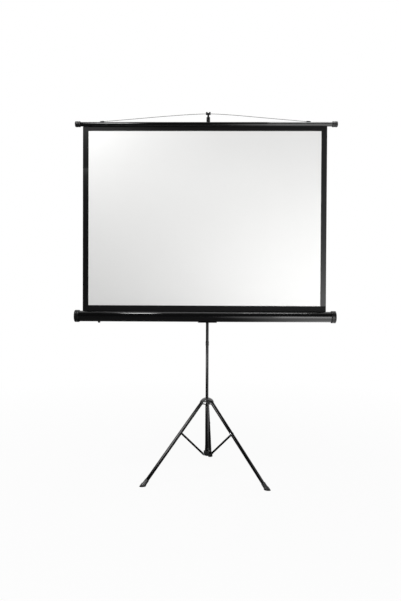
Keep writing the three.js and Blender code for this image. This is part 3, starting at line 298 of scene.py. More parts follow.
def moulded_black_rubber():
    """Black rubber: dull, with a soft bloom that makes it greyer in patches."""
    finish, tree, shader = new_finish("moulded_black_rubber")
    place = put(tree, "ShaderNodeTexCoord", {}).outputs["Object"]
    bloom = put(
        tree, "ShaderNodeTexNoise", {"Vector": place, "Scale": 1 / (18 * MM), "Detail": 5.0},
    ).outputs["Fac"]
    grit = put(
        tree, "ShaderNodeTexNoise", {"Vector": place, "Scale": 1 / (0.9 * MM), "Detail": 2.0},
    ).outputs["Fac"]
    tint = put(
        tree, "ShaderNodeMix",
        {"Factor": bloom, "A": linear("#131313"), "B": linear("#242424")}, data_type="RGBA",
    )
    bump = put(tree, "ShaderNodeBump", {"Strength": 0.4, "Distance": 0.15 * MM, "Height": grit})
    wire(tree, shader, {
        "Base Color": tint.outputs[2], "Normal": bump.outputs["Normal"], "Roughness": 0.62,
        "IOR": 1.52,
    })
    return finish


def plated_steel(name, pale, dark, low, high):
    """Steel with a thin bright plating: grey, with long streaks from the drawing die, shown about
    a millimetre wide, which is coarse enough to see."""
    finish, tree, shader = new_finish(name)
    place = put(tree, "ShaderNodeTexCoord", {}).outputs["Object"]
    along = put(
        tree, "ShaderNodeMapping", {"Vector": place, "Scale": (0.05, 1.0, 1.0)},
    ).outputs["Vector"]
    streak = put(
        tree, "ShaderNodeTexNoise", {"Vector": along, "Scale": 1 / (1.2 * MM), "Detail": 2.0},
    ).outputs["Fac"]
    cloud = put(
        tree, "ShaderNodeTexNoise", {"Vector": place, "Scale": 1 / (12 * MM), "Detail": 4.0},
    ).outputs["Fac"]
    tint = put(
        tree, "ShaderNodeMix",
        {"Factor": cloud, "A": linear(dark), "B": linear(pale)}, data_type="RGBA",
    )
    spread = put(
        tree, "ShaderNodeMapRange",
        {"Value": streak, **NOISE_RANGE, "To Min": low, "To Max": high},
    )
    wire(tree, shader, {
        "Base Color": tint.outputs[2], "Roughness": spread.outputs["Result"], "Metallic": 1,
    })
    return finish


def natural_nylon():
    """Unpigmented nylon: milky ivory in faint clouds, with a satin gloss."""
    finish, tree, shader = new_finish("natural_nylon")
    place = put(tree, "ShaderNodeTexCoord", {}).outputs["Object"]
    cloud = put(
        tree, "ShaderNodeTexNoise", {"Vector": place, "Scale": 1 / (8 * MM), "Detail": 3.0},
    ).outputs["Fac"]
    tint = put(
        tree, "ShaderNodeMix",
        {"Factor": cloud, "A": linear("#d2cfc2"), "B": linear("#dedbd0")}, data_type="RGBA",
    )
    wire(tree, shader, {"Base Color": tint.outputs[2], "Roughness": 0.42, "IOR": 1.53})
    return finish


def coated_cable():
    """Twisted steel strand in a thin dark vinyl coat: the twist shows through as ridges across
    it, made 5 mm apart, which is coarse enough to show."""
    finish, tree, shader = new_finish("coated_cable")
    place = put(tree, "ShaderNodeTexCoord", {}).outputs["Object"]
    twist = put(
        tree, "ShaderNodeTexWave", {"Vector": place, "Scale": WAVE_REPEAT / (5 * MM)},
        bands_direction="X",
    ).outputs["Fac"]
    tint = put(
        tree, "ShaderNodeMix",
        {"Factor": twist, "A": linear("#0c0c0d"), "B": linear("#222325")}, data_type="RGBA",
    )
    bump = put(tree, "ShaderNodeBump", {"Strength": 0.5, "Distance": 0.3 * MM, "Height": twist})
    wire(tree, shader, {
        "Base Color": tint.outputs[2], "Normal": bump.outputs["Normal"], "Roughness": 0.45,
    })
    return finish


def weave(tree, place):
    """The threads of the cloth, really 0.5 mm apart and here 2 mm, coarse enough to show."""
    warp, weft = (
        put(
            tree, "ShaderNodeTexWave", {"Vector": place, "Scale": WAVE_REPEAT / (2 * MM)},
            bands_direction=direction,
        ).outputs["Fac"]
        for direction in ("X", "Z")
    )
    return put(tree, "ShaderNodeMath", {0: warp, 1: weft}, operation="MULTIPLY").outputs[0]


def black_backing_cloth():
    """The opaque black coat on the back of the cloth: flat black over the threads of the fabric."""
    finish, tree, shader = new_finish("black_backing_cloth")
    place = put(tree, "ShaderNodeTexCoord", {}).outputs["Object"]
    threads = weave(tree, place)
    cloud = put(
        tree, "ShaderNodeTexNoise", {"Vector": place, "Scale": 1 / (150 * MM), "Detail": 3.0},
    ).outputs["Fac"]
    tint = put(
        tree, "ShaderNodeMix",
        {"Factor": cloud, "A": linear("#0d0d0e"), "B": linear("#161617")}, data_type="RGBA",
    )
    bump = put(
        tree, "ShaderNodeBump", {"Strength": 0.35, "Distance": 0.15 * MM, "Height": threads},
    )
    wire(tree, shader, {
        "Base Color": tint.outputs[2], "Normal": bump.outputs["Normal"], "Roughness": 0.78,
    })
    return finish


def white_screen_cloth():
    """Matte white vinyl on woven fabric, with a satin black border printed round the picture."""
    finish, tree, shader = new_finish("matte_white_vinyl_cloth")
    chart = put(tree, "ShaderNodeUVMap", {}, uv_map="UVMap")
    on_chart = put(tree, "ShaderNodeSeparateXYZ", {"Vector": chart.outputs["UV"]})
    place = put(tree, "ShaderNodeTexCoord", {}).outputs["Object"]
    side = BORDER_SIDE / CLOTH_WIDTH
    low, high = [(edge - SLOT_TOP) / CLOTH_RISE for edge in (VIEW_LOW, VIEW_HIGH)]

    def inside(value, start, end):
        over = put(tree, "ShaderNodeMath", {0: value, 1: start}, operation="GREATER_THAN")
        under = put(tree, "ShaderNodeMath", {0: value, 1: end}, operation="LESS_THAN")
        both = {0: over.outputs[0], 1: under.outputs[0]}
        return put(tree, "ShaderNodeMath", both, operation="MULTIPLY").outputs[0]

    across_it = inside(on_chart.outputs["X"], side, 1 - side)
    up_it = inside(on_chart.outputs["Y"], low, high)
    white = put(
        tree, "ShaderNodeMath", {0: across_it, 1: up_it}, operation="MULTIPLY",
    ).outputs[0]
    threads = weave(tree, place)
    cloud = put(
        tree, "ShaderNodeTexNoise", {"Vector": place, "Scale": 1 / (400 * MM), "Detail": 3.0},
    ).outputs["Fac"]
    vinyl = put(
        tree, "ShaderNodeMix",
        {"Factor": cloud, "A": linear("#ededec"), "B": linear("#f1f1f0")}, data_type="RGBA",
    ).outputs[2]
    ink = put(
        tree, "ShaderNodeMix",
        {"Factor": threads, "A": linear("#0a0a0b"), "B": linear("#101011")}, data_type="RGBA",
    ).outputs[2]
    tint = put(tree, "ShaderNodeMix", {"Factor": white, "A": ink, "B": vinyl}, data_type="RGBA")
    # The strip next to the case is flat black, and the rest of the border has a satin gloss
    strip = put(
        tree, "ShaderNodeMath", {0: on_chart.outputs["Y"], 1: low}, operation="LESS_THAN",
    ).outputs[0]
    flat = put(tree, "ShaderNodeMath", {0: white, 1: strip}, operation="MAXIMUM").outputs[0]
    spread = put(tree, "ShaderNodeMapRange", {"Value": flat, "To Min": 0.33, "To Max": 0.8})
    shine = put(tree, "ShaderNodeMapRange", {"Value": flat, "To Min": 0.45, "To Max": 0.2})
    bump = put(
        tree, "ShaderNodeBump", {"Strength": 0.12, "Distance": 0.12 * MM, "Height": threads},
    )
    wire(tree, shader, {
        "Base Color": tint.outputs[2], "Roughness": spread.outputs["Result"],
        "Specular IOR Level": shine.outputs["Result"], "Normal": bump.outputs["Normal"],
    })
    return finish


case_enamel = black_enamel("gloss_black_enamel", 0.12, 0.17, 0.5)
tube_enamel = black_enamel("satin_black_enamel", 0.2, 0.27, 0.25)
plastic = moulded_black_plastic()
gloss_plastic = polished_black_plastic()
rubber = moulded_black_rubber()
zinc = plated_steel("zinc_plated_steel", "#b4b6b8", "#9a9c9f", 0.24, 0.4)
bright_steel = plated_steel("drawn_bright_steel", "#a2a4a6", "#86888b", 0.2, 0.34)
dark_steel = plated_steel("dark_nickel_plated_steel", "#3f4042", "#2e2f31", 0.28, 0.42)
nylon = natural_nylon()
coat = coated_cable()
backing = black_backing_cloth()
vinyl_cloth = white_screen_cloth()

FINISH_OF_SLOT = {
    "black_paint": tube_enamel,
    "black_plastic": plastic,
    "gloss_black_plastic": gloss_plastic,
    "black_rubber": rubber,
    "bare_steel": bright_steel,
    "zinc_steel": zinc,
    "nylon": nylon,
    "screen_cloth": vinyl_cloth,
}

cable.data.materials.append(coat)


# How the pieces are made. They are drawn in millimetres and settled in metres.

UPRIGHT = (0, 0, 0)
ALONG_X = (pi / 2, 0, pi / 2)  # what was drawn along Z, with its top at Y, laid with its top up
ALONG_X_BACK = (pi / 2, 0, -pi / 2)
ALONG_X_TOP_DOWN = (-pi / 2, 0, -pi / 2)
ALONG_Y = (-pi / 2, 0, 0)
SMOOTH = radians(32)  # how sharply faces may meet and still be shaded as one
NEAR = 0.01  # how close to a place counts as at it


def alone(piece):
    """Nothing but this piece selected."""
    bpy.ops.object.select_all(action="DESELECT")
    piece.select_set(True)
    bpy.context.view_layer.objects.active = piece


def edit_all():
    """Edit mode, with all of the active piece selected."""
    bpy.ops.object.mode_set(mode="EDIT")
    bpy.ops.mesh.select_all(action="SELECT")


def leave_edit():
    """Back to object mode."""
    bpy.ops.object.mode_set(mode="OBJECT")


def pick(piece, chosen, kind="VERT"):
    """In edit mode, the points or faces of the piece that chosen says yes to."""
    bpy.ops.mesh.select_mode(type=kind)
    bpy.ops.mesh.select_all(action="DESELECT")
    bpy.ops.object.mode_set(mode="OBJECT")
    for part in piece.data.vertices if kind == "VERT" else piece.data.polygons:
        part.select = chosen(part.co if kind == "VERT" else part)
    bpy.ops.object.mode_set(mode="EDIT")


def new_ring(name, sides, radius, height, fill):
    """A ring round Z at its height, in edit mode and selected."""
    bpy.ops.mesh.primitive_circle_add(vertices=sides, radius=radius, fill_type=fill)
    piece = bpy.context.active_object
    piece.name = piece.data.name = name
    bpy.ops.object.mode_set(mode="EDIT")
    bpy.ops.transform.translate(value=(0, 0, height))
    return piece


def draw_out(move):
    """What is selected extruded by a move."""
    bpy.ops.mesh.extrude_region_move(TRANSFORM_OT_translate={"value": move})


def turned(name, outline, sides=72, wall=False):
    """A piece turned round Z: a ring is drawn out and resized along an outline of (radius,
    height). As a wall it comes back to its first ring, and otherwise both its ends are flat."""
    radius, height = outline[0]
    piece = new_ring(name, sides, radius, height, "NOTHING" if wall else "NGON")
    for to_radius, to_height in [*outline[1:], *(outline[:1] if wall else [])]:
        draw_out((0, 0, to_height - height))
        if to_radius != radius:
            grow = to_radius / radius
            bpy.ops.transform.resize(
                value=(grow, grow, 1), center_override=(0, 0, to_height),
            )
        radius, height = to_radius, to_height
    bpy.ops.mesh.select_all(action="SELECT")
    bpy.ops.mesh.remove_doubles(threshold=0.001)
    bpy.ops.mesh.normals_make_consistent(inside=False)
    leave_edit()
    return piece


def thickened(piece, thickness, offset=0, even=False):
    """A sheet given its thickness, on both sides or, with an offset of -1, inwards."""
    thick = piece.modifiers.new("sheet", "SOLIDIFY")
    thick.thickness = thickness
    thick.offset = offset
    thick.use_even_offset = even
    bpy.ops.object.modifier_apply(modifier="sheet")


def slotted(name, low, high, radius, wall, slot, lip):
    """A rolled tube along Z, open in a slot at +Y whose two edges are turned in by a lip."""
    piece = new_ring(name, 120, radius, low, "NOTHING")
    draw_out((0, 0, high - low))
    for side in (-1, 1):
        bpy.ops.mesh.select_all(action="SELECT")
        bpy.ops.mesh.bisect(plane_co=(side * slot / 2, 0, 0), plane_no=(1, 0, 0))
    pick(piece, lambda face: face.center.y > 0 and abs(face.center.x) < slot / 2, "FACE")
    bpy.ops.mesh.delete(type="FACE")
    bpy.ops.mesh.select_all(action="SELECT")
    bpy.ops.mesh.normals_make_consistent(inside=False)
    pick(piece, lambda point: point.y > 0 and abs(abs(point.x) - slot / 2) < NEAR)
    draw_out((0, -lip, 0))
    leave_edit()
    thickened(piece, wall, offset=-1, even=True)
    return piece


def fluted(piece, count, depth, chosen, steps=4):
    """Round grooves pressed along the side of a turned piece that has so many steps to each
    groove, where chosen says yes to a point."""
    alone(piece)
    bpy.ops.object.mode_set(mode="EDIT")
    for step in range(1, steps):
        def in_groove(point):
            turn = (atan2(point.y, point.x) / (2 * pi) * count) % 1
            return abs(turn - step / steps) < NEAR and chosen(point)
        pick(piece, in_groove)
        keep = 1 - depth * sin(pi * step / steps) ** 2
        bpy.ops.transform.resize(value=(keep, keep, 1), center_override=(0, 0, 0))
    leave_edit()


def eased_edges(piece, width, segments=2, sharp=30):
    """Its edges of more than so many degrees rounded, and its curves shaded as curves."""
    alone(piece)
    if width:
        edge = piece.modifiers.new("edge", "BEVEL")
        edge.width = width
        edge.segments = segments
        edge.limit_method = "ANGLE"
        edge.angle_limit = radians(sharp)
        bpy.ops.object.modifier_apply(modifier="edge")
    bpy.ops.object.shade_smooth_by_angle(angle=SMOOTH)


def settle(piece, place, turn=UPRIGHT, scale=MM):
    """Set down at its place in metres, which then goes into its mesh."""
    alone(piece)
    piece.location = place
    piece.rotation_euler = turn
    piece.scale = (scale, scale, scale)
    bpy.ops.object.transform_apply(location=True, rotation=True, scale=True)


def fitted(piece, body, slot, *nodes, finish=None):
    """Given its body and its finish, in place of the CAD pieces that it stands for."""
    piece.data.materials.clear()
    piece.data.materials.append(finish or FINISH_OF_SLOT[slot])
    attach(piece, body)
    if nodes:
        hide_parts(*nodes)


def finished(piece, place, turn, body, slot, *nodes, edge=0.25, finish=None):
    """Its edges eased, set down at its place and fitted."""
    eased_edges(piece, edge)
    settle(piece, place, turn)
    fitted(piece, body, slot, *nodes, finish=finish)


def dressed(node, name, slot, edge, segments=2, sharp=30, finish=None):
    """A merged copy of a CAD piece, faces cleaned and edges rounded, in its place."""
    source = frame["nodes"][node]
    body = source["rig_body"]
    alone(source)
    bpy.ops.object.duplicate()
    piece = bpy.context.active_object
    piece.name = piece.data.name = name
    piece.parent = None
    del piece["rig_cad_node"]
    alone(piece)
    bpy.ops.mesh.customdata_custom_splitnormals_clear()
    edit_all()
    bpy.ops.mesh.remove_doubles(threshold=0.002 * MM)
    bpy.ops.mesh.dissolve_limited(angle_limit=radians(0.5))
    leave_edit()
    eased_edges(piece, edge * MM, segments, sharp)
    # Rounded corners that ran into each other leave faces of no size
    edit_all()
    bpy.ops.mesh.dissolve_degenerate(threshold=0.001 * MM)
    leave_edit()
    fitted(piece, body, slot, node, finish=finish)


# Cloth, as a flat grid that runs up from the slot

CLOTH_GRID = (61, 46)  # squares across and up
CLOTH_WAVE = 2.4 * MM  # from the furthest forward that it can wave to the furthest back
WAVE_SIZE = 0.45  # about how wide a wave is
CLOTH_SMOOTH = radians(40)
FACES_BACK = 0.3  # how much of a face's normal points back, at the least, where it is black
ROLL_FRONT = cloth_low.y + 0.5 * MM  # where it meets the roll
ROLL_LOW = cloth_low.z + 0.3 * MM

bpy.ops.mesh.primitive_grid_add(
    x_subdivisions=CLOTH_GRID[0], y_subdivisions=CLOTH_GRID[1], size=1, calc_uvs=True,
)
cloth = bpy.context.active_object
cloth.name = cloth.data.name = "projection_cloth"
cloth.location = ((cloth_low.x + cloth_high.x) / 2, case.y, (SLOT_TOP + cloth_high.z) / 2)
cloth.rotation_euler = (pi / 2, 0, 0)
cloth.scale = (CLOTH_WIDTH, CLOTH_RISE, 1)
bpy.ops.object.transform_apply(location=True, rotation=True, scale=True)
bpy.ops.object.mode_set(mode="EDIT")
# The last stretch runs down inside the case to the front of the roll
pick(cloth, lambda point: point.z < SLOT_TOP + 0.1 * MM)
draw_out((0, ROLL_FRONT - case.y, ROLL_LOW - SLOT_TOP))
leave_edit()
# Such a cloth waves by a millimetre or so between the slot and the bar, which hold it straight
ripple = bpy.data.textures.new("ripple", "CLOUDS")
ripple.noise_scale = WAVE_SIZE
wave = cloth.modifiers.new("wave", "DISPLACE")
wave.texture = ripple
wave.texture_coords = "GLOBAL"
wave.direction = "Y"
wave.mid_level = 0.5
wave.strength = CLOTH_WAVE
hang = cloth.vertex_groups.new(name="hang")
for point in cloth.data.vertices:
    rise = (point.co.z - SLOT_TOP) / CLOTH_RISE
    hang.add([point.index], max(0.0, min(1.0, 4 * rise * (1 - rise))), "REPLACE")
wave.vertex_group = "hang"
bpy.ops.object.modifier_apply(modifier="wave")
thickened(cloth, CLOTH_THICKNESS)
bpy.ops.object.shade_smooth_by_angle(angle=CLOTH_SMOOTH)
fitted(cloth, "case", "screen_cloth", "screen_cloth")
# What faces back is black
cloth.data.materials.append(backing)
for face in cloth.data.polygons:
    face.material_index = 1 if face.normal.y > FACES_BACK else 0
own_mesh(cloth)

# The turns of cloth left on the roller, black as the border that they carry on, from the cloth's
# end inward

TURNS = 9
TURN_STEPS = 40  # to each turn
TURN_PITCH = 0.5 * MM
WOUND_RADIUS = 20.8 * MM

wound_low, wound_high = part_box("rolled_cloth")
wound_width = wound_high.x - wound_low.x
roller = middle("rolled_cloth")
start_turn = atan2(cloth_low.z - roller.z, cloth_low.y - roller.y)
winding = []
for i in range(TURNS * TURN_STEPS + 1):
    turn = start_turn + 2 * pi * i / TURN_STEPS
    radius = WOUND_RADIUS - TURN_PITCH * i / TURN_STEPS
    winding.append(Vector((0, radius * cos(turn), radius * sin(turn))))
bpy.ops.mesh.primitive_plane_add(size=wound_width)
wound = bpy.context.active_object
wound.name = wound.data.name = "wound_cloth"
bpy.ops.object.mode_set(mode="EDIT")
# One edge of the plane is left, and drawn out along the winding
pick(wound, lambda point: point.y > 0)
bpy.ops.mesh.delete(type="VERT")
bpy.ops.mesh.select_all(action="SELECT")
bpy.ops.transform.translate(value=winding[0] + Vector((0, wound_width / 2, 0)))
for here, there in zip(winding, winding[1:]):
    draw_out(there - here)
leave_edit()
thickened(wound, CLOTH_THICKNESS)
edit_all()
bpy.ops.mesh.normals_make_consistent(inside=False)
leave_edit()
bpy.ops.object.shade_smooth_by_angle(angle=CLOTH_SMOOTH)
settle(wound, roller, scale=1)
fitted(wound, "roller", "screen_cloth", "rolled_cloth", finish=backing)


# Case. An outline is a list of (radius, height), and an end's heights are from its face.

CASE_END_OUTLINE = [
    (5.6, 2.4), (6, 0.5), (7, 0.2), (14, 0.3), (21, 0.72), (27, 1.3), (31.5, 1.85), (34.6, 2.4),
    (36.4, 3), (37.6, 4), (38.3, 5.2), (38.5, 6.4), (38.5, 13), (37.5, 13.3), (37.5, 16),
    (38.5, 16.3), (38.5, 30.2), (37.8, 31), (34.3, 31), (34.3, 8), (5, 8),
]
CASE_SCREW_OUTLINE = [(1.2, 3.4), (1.4, 2.1), (3.6, 1.7), (4.4, 1.9), (4.9, 2.5), (4.9, 4)]
CASE_FOOT_OUTLINE = [  # down from the case's axis
    (4.6, -42), (5.8, -41.8), (6.7, -41.2), (7.3, -40.2), (7.5, -39), (7.5, -35.4),
    (7.1, -34.9), (7.1, -33.2),
]

CAPS = (("left", 0, ALONG_X), ("right", 1, ALONG_X_BACK))  # side, outer corner of its box, turn

shell = slotted("case_shell", *ends("case_tube", X), radius=34, wall=1.1, slot=10, lip=3)
finished(
    shell, (0, case.y, case.z), ALONG_X, "case", "black_paint", "case_tube", edge=0.35,
    finish=case_enamel,
)

# A moulded cup over each end: a domed face with a screw in its well, a step and a groove
for side, corner, turn in CAPS:
    cap = "case_cap_" + side
    place = (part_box(cap)[corner].x, case.y, case.z)
    cup = turned("case_end_" + side, CASE_END_OUTLINE)
    finished(cup, place, turn, "case", "black_plastic", cap, edge=0.3)
    screw = turned("case_end_" + side + "_screw", CASE_SCREW_OUTLINE, sides=32)
    finished(screw, place, turn, "case", "zinc_steel", edge=0.15)

bumper = turned("case_foot", CASE_FOOT_OUTLINE, sides=40)
place = (middle("case_bumper").x, case.y, case.z)
finished(bumper, place, UPRIGHT, "case", "black_rubber", "case_bumper", edge=0)
dressed("case_saddle", "case_cradle", "black_plastic", edge=0.8, sharp=40)


# Top bar

BAR_END_OUTLINE = [
    (3, 0.1), (9, 0.25), (12.6, 0.7), (15, 1.5), (16.8, 2.7), (17.7, 4), (18, 5.6), (18, 7),
    (18, 18.6), (17.6, 20), (16.8, 20.4), (16.8, 23.4), (17.6, 23.8), (18, 25), (18, 33),
    (17.2, 34), (14, 34), (14, 10), (4, 10),
]

rail = slotted("bar_shell", *ends("bar_tube", X), radius=13.7, wall=1.3, slot=3.4, lip=2.2)
finished(
    rail, (0, bar.y, bar.z), ALONG_X_TOP_DOWN, "top_bar", "black_paint", "bar_tube", edge=0.3,
    finish=case_enamel,
)


def from_axis(point):
    """How far a point is from Z."""
    return hypot(point.x, point.y)


# A moulded cup over each end, grooved round its waist and fluted for the fingers
for side, corner, turn in CAPS:
    cap = "bar_cap_" + side
    cup = turned("bar_end_" + side, BAR_END_OUTLINE, sides=96)
    fluted(cup, 24, 0.045, lambda point: 6.8 < point.z < 18.8 and from_axis(point) > 17)
    place = (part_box(cap)[corner].x, bar.y, bar.z)
    finished(cup, place, turn, "top_bar", "black_plastic", cap)

dressed("cable_anchor_left", "cable_wedge_left", "black_plastic", edge=0.6)
dressed("cable_anchor_right", "cable_wedge_right", "black_plastic", edge=0.6)
dressed("cloth_spline", "cloth_rod", "bare_steel", edge=0.3)


# Mast, with heights above the floor

MAST_HALF = [(8.3, 0), (9.5, 0)]  # a half is the outline from one end to the middle
EXTENSION_HALF = [(6.7, 0), (7.9, 0)]
SLEEVE_HALF = [(9.8, 0), (10.8, 0), (10.8, 14), (10.5, 15.2), (10.5, 17), (10.8, 18.2)]
STOP_HALF = [(9.8, 0), (10.5, 0), (11.2, 1.2), (11.2, 8), (10.6, 8.8)]
HEAD_OUTLINE = [
    (8.2, 2287), (10.6, 2287), (12, 2288.6), (12, 2296), (11.5, 2297), (11.5, 2299), (12, 2300),
    (12, 2324.5), (11.7, 2326.2), (10.9, 2327.7), (9.6, 2328.6), (7.5, 2329), (2, 2329),
]
CLAMP_OUTLINE = [
    (9.8, 1300), (12.6, 1300), (14, 1300.8), (15, 1302.6), (15, 1312), (14.2, 1313),
    (14.2, 1333), (15, 1334), (15, 1343.4), (14.3, 1345.2), (12.5, 1346), (8, 1346),
    (8, 1334.3), (9.8, 1334.3),
]


def on_mast(piece, body, slot, node):
    """Finished round the mast's axis."""
    finished(piece, (mast.x, mast.y, 0), UPRIGHT, body, slot, node)


def tube_on_mast(name, node, half, body, slot):
    """A tube round the mast's axis, as long as its CAD piece and alike at both ends."""
    low, high = ends(node, Z)
    outline = [(r, low + h) for r, h in half] + [(r, high - h) for r, h in reversed(half)]
    on_mast(turned(name, outline, sides=48, wall=True), body, slot, node)


tube_on_mast("mast_pipe", "mast_tube", MAST_HALF, "mast", "black_paint")
tube_on_mast("mast_outer_sleeve", "mast_sleeve", SLEEVE_HALF, "mast", "black_paint")
tube_on_mast("stop_collar", "carriage_stop_ring", STOP_HALF, "mast", "black_plastic")
tube_on_mast("inner_pipe", "extension_tube", EXTENSION_HALF, "extension", "black_paint")
head = turned("mast_head", HEAD_OUTLINE, sides=48)
on_mast(head, "extension", "black_plastic", "extension_head")
dressed("cable_hook", "cable_horns", "bare_steel", edge=0.8, segments=3, finish=dark_steel)

clamp = turned("height_clamp", CLAMP_OUTLINE, wall=True)
fluted(clamp, 18, 0.05, lambda point: 1312.8 < point.z < 1333.2 and from_axis(point) > 14)
on_mast(clamp, "mast", "black_plastic", "extension_clamp")


# Knobs, with heights out from the mast's axis

STAND_TURN = -3.24  # how far the stand is turned under the screen, in degrees
HUB_KNOB_AZIMUTH = 14  # on the stand, from straight ahead
KNOB_OUTLINE = [  # as shares of the knob's radius and length
    (0.42, 0), (0.84, 0), (0.96, 0.05), (1, 0.15), (1, 0.72), (0.97, 0.84), (0.86, 0.95),
    (0.7, 1), (0.52, 1), (0.48, 0.94),
]
SCREW_RADIUS = 3


def knob(name, radius, start, length, screw_from, turn, body, node):
    """A moulded grip with eight finger grooves on a steel screw."""
    place = (mast.x, mast.y, middle(node).z)
    outline = [(radius * wide, start + along * length) for wide, along in KNOB_OUTLINE]
    grip = turned(name, outline, sides=64)
    fluted(grip, 8, 0.13, lambda point: from_axis(point) > radius * 0.66, steps=8)
    finished(grip, place, turn, body, "black_plastic", node)
    shank = [(2.6, screw_from), (SCREW_RADIUS, screw_from + 0.4), (SCREW_RADIUS, start + 1)]
    screw = turned(name + "_screw", shank, sides=24)
    finished(screw, place, turn, body, "zinc_steel", edge=0)


knob(
    "height_knob", radius=14, start=19, length=18, screw_from=8.6, turn=ALONG_Y,
    body="extension_lock", node="extension_clamp_knob",
)
knob(
    "carriage_grip", radius=17, start=27, length=20, screw_from=10.2, turn=ALONG_X,
    body="slider_lock", node="carriage_knob",
)
knob(
    "hub_grip", radius=9.5, start=47.5, length=11, screw_from=10.2,
    turn=(0, pi / 2, radians(HUB_KNOB_AZIMUTH + STAND_TURN - 90)),
    body="hub_lock", node="hub_knob",
)


# Carriage

dressed("carriage", "sliding_carriage", "black_plastic", edge=1.2, segments=3)
dressed("carry_handle", "grip_handle", "black_plastic", edge=0.8, sharp=20)
dressed("swivel_bolt", "case_bolt", "bare_steel", edge=0.5)
dressed("swivel_washer", "case_washer", "nylon", edge=0.3)


# Stand. A leg is drawn down along Z from its pivot in the hub.

LEG_AZIMUTHS = {"left": -60, "right": 60, "rear": 180}  # on the stand, from straight ahead
HUB_Z = middle("leg_pin_left").z
PIVOT_RADIUS = 37.7  # from the mast's axis to a leg's pivot, in millimetres
FOOT_RADIUS = 441  # and to a foot's middle
LEG_DROP = 484  # from the pivot down to there
LEG_OUT = FOOT_RADIUS - PIVOT_RADIUS
LEG_ANGLE = atan2(LEG_OUT, LEG_DROP)
FOOT_AT = -hypot(LEG_OUT, LEG_DROP)
RIVET_AT = -236  # the brace's
LEG_OUTLINE = [  # narrowed a little where the brace is riveted on, and rounded over at the top
    (9.7, FOOT_AT + 14), (11, FOOT_AT + 14), (11, RIVET_AT - 9), (10.8, RIVET_AT - 7),
    (10.8, RIVET_AT + 7), (11, RIVET_AT + 9), (11, -14), (11, 1.6), (10.4, 3.2), (9, 4),
    (7.6, 4), (7.6, 2.7), (9, 2.2), (9.7, 0.8),
]
FOOT_OUTLINE = [  # up from the foot's middle: the sole, the shoulder and two grooves
    (17, -17), (17, 8.5), (16.6, 9.1), (16.6, 10.1), (17, 10.7), (17, 12), (16.4, 13.6),
    (15, 15.2), (14.1, 18), (13.8, 20), (13.4, 30), (13.4, 32), (13.0, 32.6), (13.0, 34),
    (13.4, 34.6), (13.4, 36.4), (13.0, 37), (13.0, 38.4), (13.4, 39), (13.4, 45), (12.6, 46),
    (11.3, 46), (11.3, 14),
]
SOLE_Z = 0.02 * MM  # where a foot is cut, just over the floor

dressed("leg_hub", "leg_bell", "gloss_black_plastic", edge=0.7, segments=3)
dressed("brace_collar", "lower_collar", "black_plastic", edge=0.6)

for side, azimuth in LEG_AZIMUTHS.items():
    sector = radians(azimuth + STAND_TURN - 90)
    out = PIVOT_RADIUS * MM
    pivot = (mast.x + out * cos(sector), mast.y + out * sin(sector), HUB_Z)
    tilt = Matrix.Rotation(sector, 3, "Z") @ Matrix.Rotation(-LEG_ANGLE, 3, "Y")
    lean = tuple(tilt.to_euler())
    leg = turned("leg_pipe_" + side, LEG_OUTLINE, sides=48, wall=True)
    finished(leg, pivot, lean, side + "_leg", "black_paint", "leg_tube_" + side)

    outline = [(r, FOOT_AT + h) for r, h in FOOT_OUTLINE]
    foot = turned("leg_foot_" + side, outline, sides=64)
    eased_edges(foot, 0.25)
    settle(foot, pivot, lean)
    # The leaning foot is cut level at the floor, to within a tenth of a millimetre
    edit_all()
    bpy.ops.mesh.bisect(
        plane_co=(0, 0, SOLE_Z), plane_no=(0, 0, 1), use_fill=True, clear_inner=True,
    )
    leave_edit()
    fitted(foot, side + "_leg", "black_rubber", "foot_" + side)

    dressed("brace_" + side, "leg_brace_" + side, "black_paint", edge=0.5)
    dressed("leg_pin_" + side, "hub_pin_" + side, "bare_steel", edge=0.5)
    dressed("brace_stud_" + side, "brace_rivet_" + side, "bare_steel", edge=0.3)
    dressed("brace_pin_" + side, "collar_rivet_" + side, "bare_steel", edge=0.3)

# The rest keeps its CAD shape and gets the finish of its slot
for part in frame["record"]["subparts"]:
    node = frame["nodes"][part["node"]]
    if not node.hide_render:
        node.data.materials.clear()
        node.data.materials.append(FINISH_OF_SLOT[part["material_slot"]])


# Floor, backdrop and light, with distances in metres

FLOOR_RADIUS = 14
FLOOR_GLOW = 0.94  # share of plain white in the floor, which leaves the rest to the shadow
FLOOR_FADE = (0.8, 4)  # how far out it starts to fade into the backdrop and where it ends
FLOOR_PAINTED_GLOW = (0.1, 2)  # the floor's painted glow as gloss shows it, dim at the left and bright far to the right
FLOOR_PAINTED_GLOW_FROM = (0.2, 1.4)  # where the painted glow that stands for a lit floor starts to brighten, and where it is full, to the right
ROOM_LEVEL = 0.46  # what the room gives all round
ROOM_FRONT = 0.03  # the unlit half of the room in front of the screen, as gloss shows it
ROOM_RIGHT = 2.4  # the lit lower right of that half, as gloss shows it
CEILING = (0.12, 0.4)  # the lit ceiling as gloss shows it, at its left and at its right
# Where these start and end, as the part of a direction that points back, up or right
BACKDROP_EDGE = (-0.25, 0.25)
CEILING_EDGE = (0.75, 0.97)
CEILING_SIDES = (-0.3, 0.3)
RIGHT_EDGE = (0.04, 0.3)
LOW_EDGE = (0.2, 0.0)


def backdrop_rays(tree):
    """Two outputs: one for the rays that see the white backdrop as it is, and one for the rays
    that mirror it in gloss."""
    rays = put(tree, "ShaderNodeLightPath", {})
    seen = put(
        tree, "ShaderNodeMath",
        {0: rays.outputs["Is Camera Ray"], 1: rays.outputs["Is Transmission Ray"]},
        operation="MAXIMUM",
    )
    return seen.outputs[0], rays.outputs["Is Glossy Ray"]


